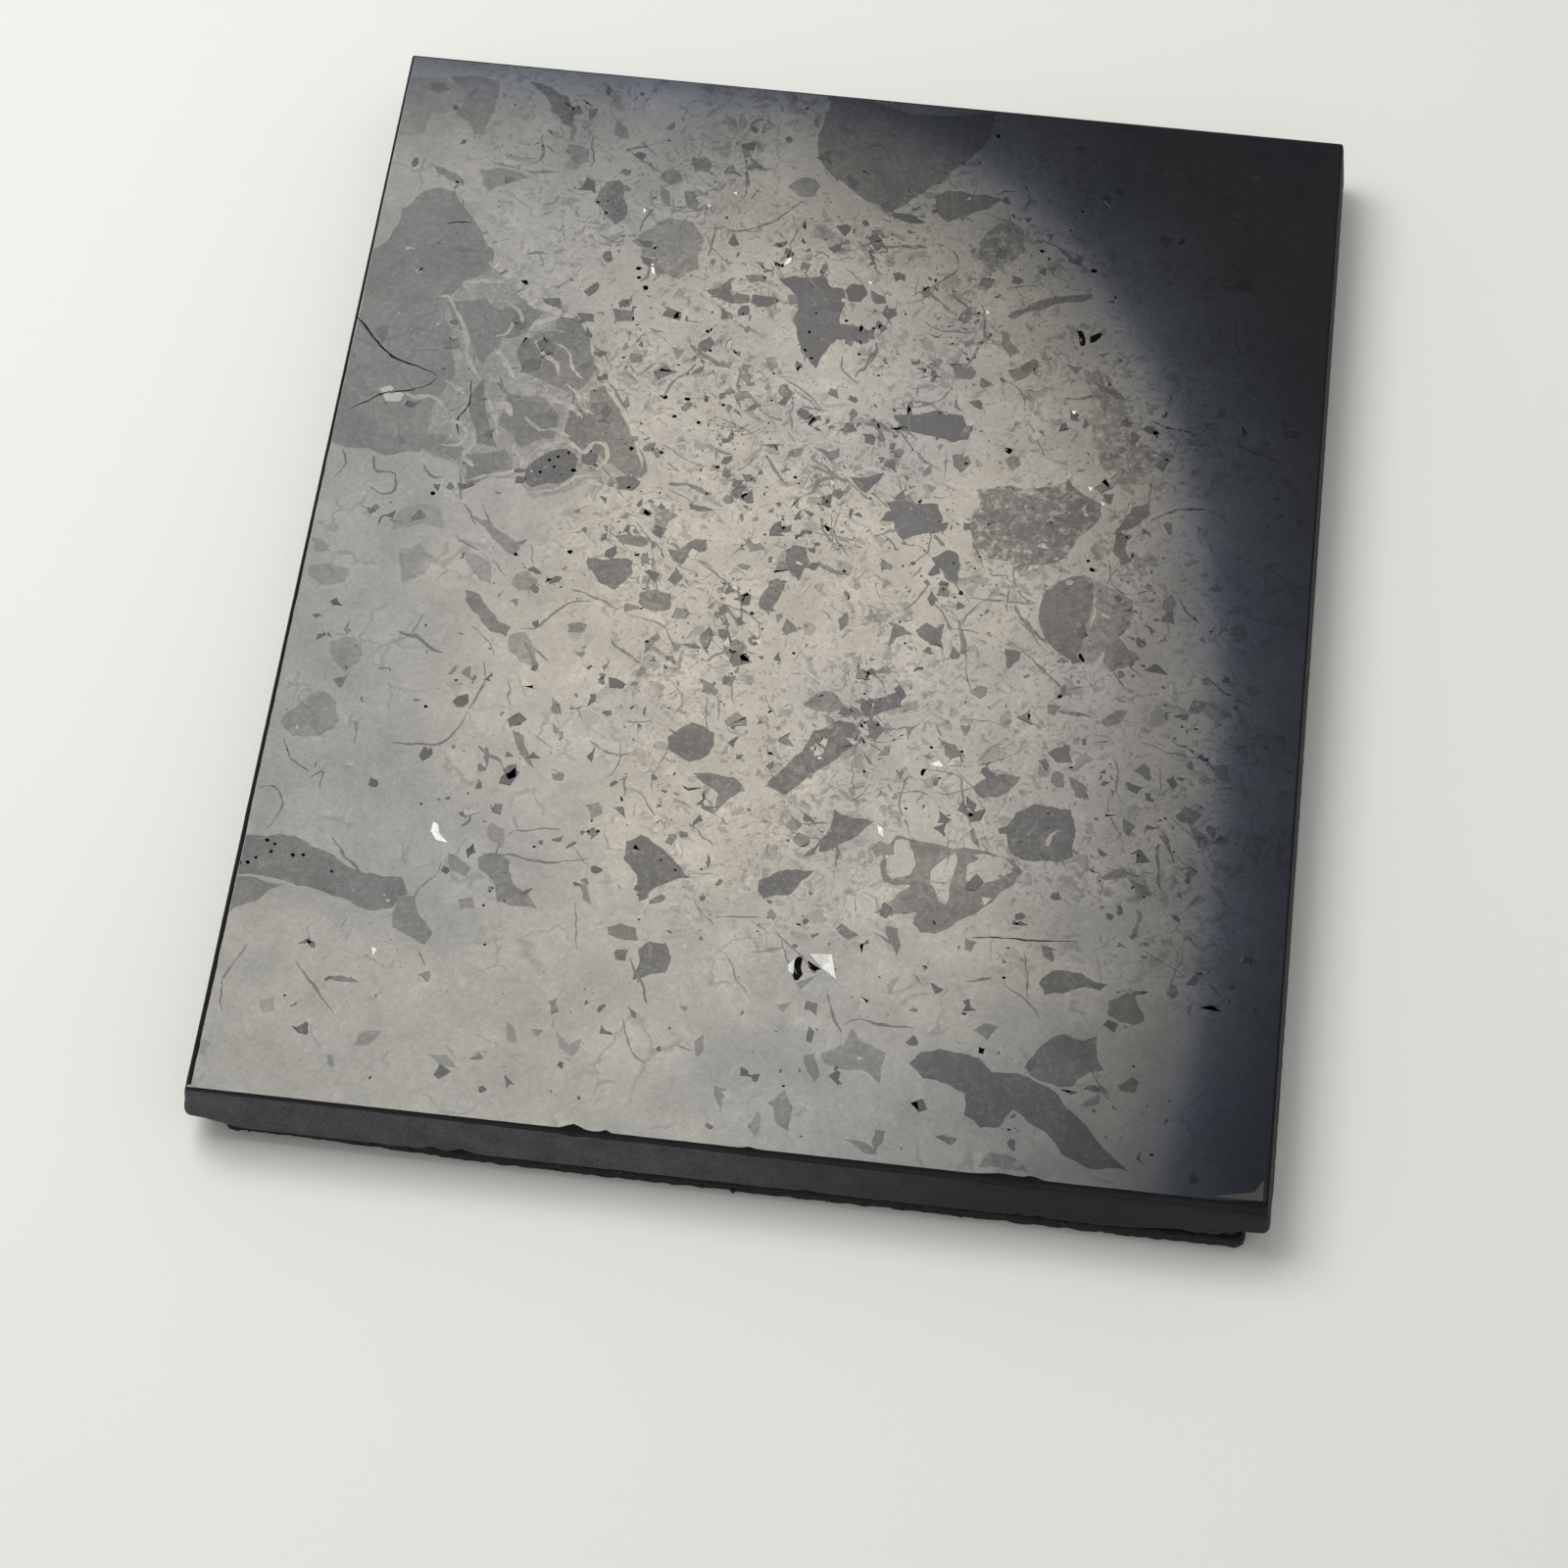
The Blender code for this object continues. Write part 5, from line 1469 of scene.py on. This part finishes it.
def studio_world(stage):
    """A pale studio whose dim blue ceiling holds one soft warm panel, both mirrored by the face."""
    world = bpy.data.worlds.new("studio")
    bpy.context.scene.world = world
    world.use_nodes = True
    tree = world.node_tree
    way = add(tree, "ShaderNodeTexCoord", out="Generated")
    parts = add(tree, "ShaderNodeSeparateXYZ", {0: way}).node.outputs
    rise = add(tree, "ShaderNodeMath", {0: parts[2], 1: 0.05}, operation="MAXIMUM")
    outer = sky_patch(tree, parts, rise, PANEL_GLOW)
    window = sky_patch(tree, parts, rise, PANEL_EDGE, open_left=True)
    inner = sky_patch(tree, parts, rise, PANEL_CORE)

    # Soft steps between zones of the sky: (measure, start, end, value before, value after).
    fade, step, core, tinting, lidding, walling = (
        add(tree, "ShaderNodeMapRange", {"Value": measure, "From Min": start, "From Max": end,
                                         "To Min": before, "To Max": after},
            interpolation_type="SMOOTHSTEP")
        for measure, start, end, before, after in (
            (outer, 0.61, 1.10, stage.panel, 0.0),
            (window, 0.98, 1.02, 1.0, 0.31),
            (inner, 0.55, 1.25, 1.0, 0.0),
            (window, 0.94, 1.03, 0.0, 1.0),
            (outer, 1.5, 2.3, 0.0, 1.0),
            (parts[2], 0.2, 0.62, 0.0, 1.0),
        )
    )
    above = add(tree, "ShaderNodeMath", {0: parts[2], 1: 0.1}, operation="GREATER_THAN")
    glow = add(tree, "ShaderNodeMath", {0: fade, 1: step}, operation="MULTIPLY")
    glow = add(tree, "ShaderNodeMath", {0: glow, 1: above}, operation="MULTIPLY")
    # Each colour is laid over the one before: panel rim, core and blue edge; dim lid and ceiling; walls.
    rim_white, core_warm, edge_blue = (0.93, 0.93, 0.93, 1), (1.25, 1.19, 1.14, 1), (0.74, 0.92, 1.38, 1)
    dim_blue, ceiling = (0.035, 0.05, 0.09, 1), (*(stage.ceiling,) * 3, 1)
    wall = (stage.room, stage.room, stage.room * 0.97, 1)
    panel = add(tree, "ShaderNodeMix", {0: core, 6: rim_white, 7: core_warm}, data_type="RGBA", out=2)
    panel = add(tree, "ShaderNodeMix", {0: tinting, 6: panel, 7: edge_blue}, data_type="RGBA", out=2)
    panel = add(tree, "ShaderNodeVectorMath", {0: panel, "Scale": glow}, operation="SCALE")
    lid = add(tree, "ShaderNodeMix", {0: lidding, 6: dim_blue, 7: ceiling}, data_type="RGBA", out=2)
    walls = add(tree, "ShaderNodeMix", {0: walling, 6: wall, 7: lid}, data_type="RGBA", out=2)
    light = add(tree, "ShaderNodeVectorMath", {0: panel, 1: walls}, operation="ADD")
    tree.links.new(light, tree.nodes["Background"].inputs["Color"])


def place_camera(stage):
    """The camera stands off from its aim at the given height and turn."""
    aim = Vector((stage.aim_x, stage.aim_y, FACE_Z))
    flat = math.cos(stage.elevation)
    back = Vector((
        math.sin(stage.azimuth) * flat, -math.cos(stage.azimuth) * flat, math.sin(stage.elevation)
    ))
    data = bpy.data.cameras.new("camera")
    data.lens = stage.lens
    data.sensor_width = 36.0
    data.clip_start = 0.01
    data.clip_end = 50.0
    camera = bpy.data.objects.new("camera", data)
    camera.location = aim + back * stage.distance
    camera.rotation_euler = (-back).to_track_quat("-Z", "Y").to_euler()
    bpy.context.scene.collection.objects.link(camera)
    bpy.context.scene.camera = camera


def painted_board(colour):
    """Painted board: matt off-white with faint roller mottling."""
    material, tree, shader = new_material("painted_board")
    place = in_millimetres(tree)
    soft = add(tree, "ShaderNodeTexNoise", {"Vector": place, "Scale": 0.02, "Detail": 2.0})
    fine = add(tree, "ShaderNodeTexNoise", {"Vector": place, "Scale": 1.5, "Detail": 3.0})
    both = add(tree, "ShaderNodeMath", {0: soft, 1: fine}, operation="ADD")
    base = add(tree, "ShaderNodeMix", {0: both, 6: (*colour, 1), 7: (*shaded(colour, 0.985), 1)},
               data_type="RGBA", out=2)
    tree.links.new(base, shader.inputs["Base Color"])
    shader.inputs["Roughness"].default_value = 0.8
    return material


class SLAB_OT_stage(bpy.types.Operator):
    """Lay the pale floor and set the soft studio light and the camera"""

    bl_idname = "slab.stage"
    bl_label = "Floor, light and camera"

    def execute(self, context):
        stage = context.scene.slab_stage
        bm = bmesh.new()
        bmesh.ops.create_circle(bm, cap_ends=True, radius=5.0, segments=96)
        floor = link_mesh("floor", bm, [painted_board(stage.floor)])
        studio_world(stage)
        light = bpy.data.lights.new("key", "AREA")
        light.shape = "DISK"
        light.size = 0.3
        light.energy = stage.key
        light.color = (0.97, 1.0, 0.95)
        key = bpy.data.objects.new("key", light)
        key.visible_glossy = False
        key.location = (-0.20, 0.08, 0.42)
        key.rotation_euler = key.location.to_track_quat("Z", "Y").to_euler()
        context.scene.collection.objects.link(key)
        place_camera(stage)
        context.scene.view_settings.view_transform = "Standard"
        return {"FINISHED"}


class SLAB_PT_panel(bpy.types.Panel):
    """Lists the slab's pieces and their settings"""

    bl_label = "Granite slab"
    bl_idname = "SLAB_PT_panel"
    bl_space_type = "VIEW_3D"
    bl_region_type = "UI"
    bl_category = "Granite slab"

    def draw(self, context):
        for operator, settings in STEPS:
            box = self.layout.box()
            box.operator(operator.bl_idname)
            group = getattr(context.scene, settings) if settings else None
            for name in group.__annotations__ if group else ():
                box.prop(group, name)


STEPS = (
    (SLAB_OT_stage, "slab_stage"),
    (SLAB_OT_stone, "slab_stone"),
    (SLAB_OT_fragments, "slab_fragments"),
    (SLAB_OT_seams, "slab_seams"),
    (SLAB_OT_crystals, ""),
    (SLAB_OT_backing, "slab_backing"),
)
SETTINGS = {
    "slab_stone": StoneSettings,
    "slab_fragments": FragmentSettings,
    "slab_seams": SeamSettings,
    "slab_backing": BackingSettings,
    "slab_stage": StageSettings,
}
CLASSES = (*SETTINGS.values(), *(operator for operator, _ in STEPS), SLAB_PT_panel)


def register():
    for cls in CLASSES:
        bpy.utils.register_class(cls)
    for name, group in SETTINGS.items():
        setattr(bpy.types.Scene, name, bpy.props.PointerProperty(type=group))


def unregister():
    for name in SETTINGS:
        delattr(bpy.types.Scene, name)
    for cls in reversed(CLASSES):
        bpy.utils.unregister_class(cls)


def main():
    register()
    for operator, _ in STEPS:
        category, name = operator.bl_idname.split(".")
        getattr(getattr(bpy.ops, category), name)()


if __name__ == "__main__":
    main()
